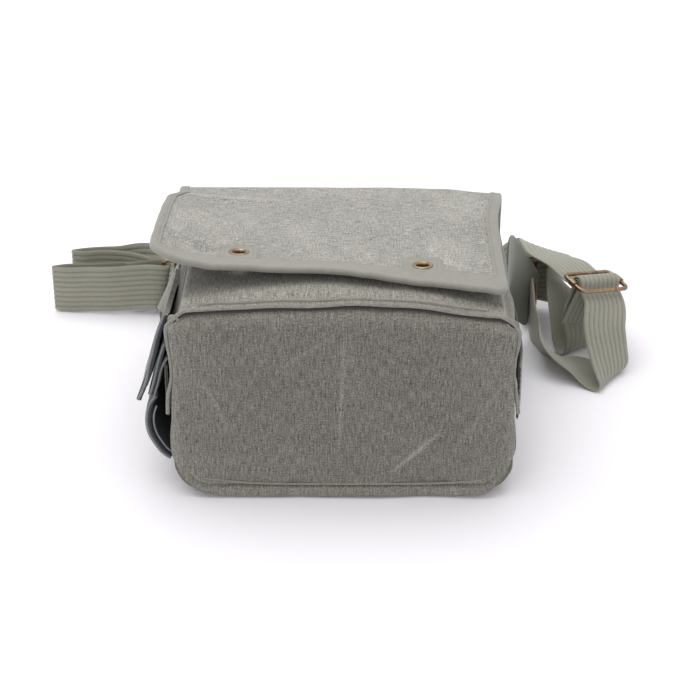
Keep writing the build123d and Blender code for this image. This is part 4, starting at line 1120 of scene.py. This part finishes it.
# Padding and dividers. Sheets of foam under brushed dark cloth line the back, front, sides and base,
# and two padded dividers stand between them, held at their ends by strips of hook tape.
def brushed(name, colour, size):
    """Brushed cloth: a fine nap of noise at one size, a softer mottle at twelve times that size, and
    a low bump from both."""
    made, shader = material(name, colour, 0.95, 0.35)
    place = node(made, "ShaderNodeTexCoord").outputs["Object"]
    nap = stretched(made, place, [1 / size] * 3)
    mottle = stretched(made, place, [1 / size / 12] * 3)
    tinted(made, shader, colour, summed(made, 0.62, (nap, 0.5), (mottle, 0.3)))
    bumped(made, shader, nap, 0.5, 0.0003)
    return made


brushed_lining = brushed("brushed_lining", lin(60, 68, 78), 0.0009)
divider_cloth = brushed("divider_cloth", lin(74, 80, 86), 0.0009)
hook_tape = brushed("hook_tape", lin(40, 43, 47), 0.0006)


def spots_of(mesh):
    """Places of a mesh's vertices, one row each."""
    spots = np.empty(len(mesh.vertices) * 3)
    mesh.vertices.foreach_get("co", spots)
    return spots.reshape(-1, 3)


def blown_up(made, cap):
    """Swells a closed shape as cloth under pressure for 20 frames, without gravity. Each point goes
    the way that the cloth went, but no further than the cap."""
    start = spots_of(made.data)
    cloth = made.modifiers.new("cloth", "CLOTH")
    cloth.settings.quality, cloth.settings.mass = 5, 0.3
    cloth.settings.use_pressure, cloth.settings.uniform_pressure_force = True, 4.0
    cloth.settings.effector_weights.gravity = 0
    cloth.point_cache.frame_start, cloth.point_cache.frame_end = 1, cloth_frames
    for number in range(1, cloth_frames + 1):
        bpy.context.scene.frame_set(number)
    graph = bpy.context.evaluated_depsgraph_get()
    way = spots_of(bpy.data.meshes.new_from_object(made.evaluated_get(graph))) - start
    made.modifiers.remove(cloth)
    bpy.context.scene.frame_set(1)
    way *= np.minimum(1, cap / 1000 / np.maximum(np.linalg.norm(way, axis=1, keepdims=True), 1e-9))
    made.data.vertices.foreach_set("co", (start + way).ravel())


def foam_piece(name, node_name, body, cloth, cap):
    """Padded piece from a CAD solid's own shape: remeshed at 4 mm, drawn in by 0.8 mm, blown up as
    cloth with no point moving more than the cap, and subdivided once."""
    shape = bmesh.new()
    shape.from_mesh(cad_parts[node_name].data)
    bmesh.ops.remove_doubles(shape, verts=shape.verts, dist=1e-6)
    mesh = bpy.data.meshes.new(name)
    shape.to_mesh(mesh)
    shape.free()
    made = bpy.data.objects.new(name, mesh)
    bpy.context.collection.objects.link(made)
    remesh = made.modifiers.new("remesh", "REMESH")
    remesh.mode, remesh.voxel_size = "VOXEL", 0.004
    smooth = made.modifiers.new("smooth", "SMOOTH")
    smooth.factor, smooth.iterations = 0.5, 4
    drawn_in = made.modifiers.new("drawn_in", "DISPLACE")
    drawn_in.strength, drawn_in.mid_level = -0.0008, 0.0
    finish(made)
    blown_up(made, cap)
    finer = made.modifiers.new("finer", "SUBSURF")
    finer.levels, finer.render_levels = 1, 1
    finish(made)
    made.data.materials.clear()
    made.data.materials.append(cloth)
    made.data.polygons.foreach_set("use_smooth", np.ones(len(made.data.polygons), bool))
    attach(made, body)
    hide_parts(node_name)


def finished_in(node_name, cloth):
    """Gives a CAD node a material of its own, with its shape as it is."""
    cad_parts[node_name].data.materials.clear()
    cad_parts[node_name].data.materials.append(cloth)


cloth_frames, board_cap, base_cap, divider_cap = 20, 1.2, 0.5, 2.0
for side in ("back", "front", "left", "right"):
    foam_piece(f"{side}_foam", f"pad_{side}", "case", brushed_lining, board_cap)
foam_piece("base_foam", "pad_bottom", "case", brushed_lining, base_cap)
for side in ("left", "right"):
    foam_piece(f"padded_divider_{side}", f"divider_{side}", f"divider_{side}", divider_cloth, divider_cap)
    finished_in(f"divider_tapes_{side}", hook_tape)


# Brass fittings. A ring on each side joins the strap to the side webbing, and a slider with a middle
# bar sets its length. They keep the shapes of the CAD nodes and wear the eyelets' aged brass.
for node_name in ("ring_left", "ring_right", "slider_frame", "slider_bar"):
    finished_in(node_name, aged_brass)
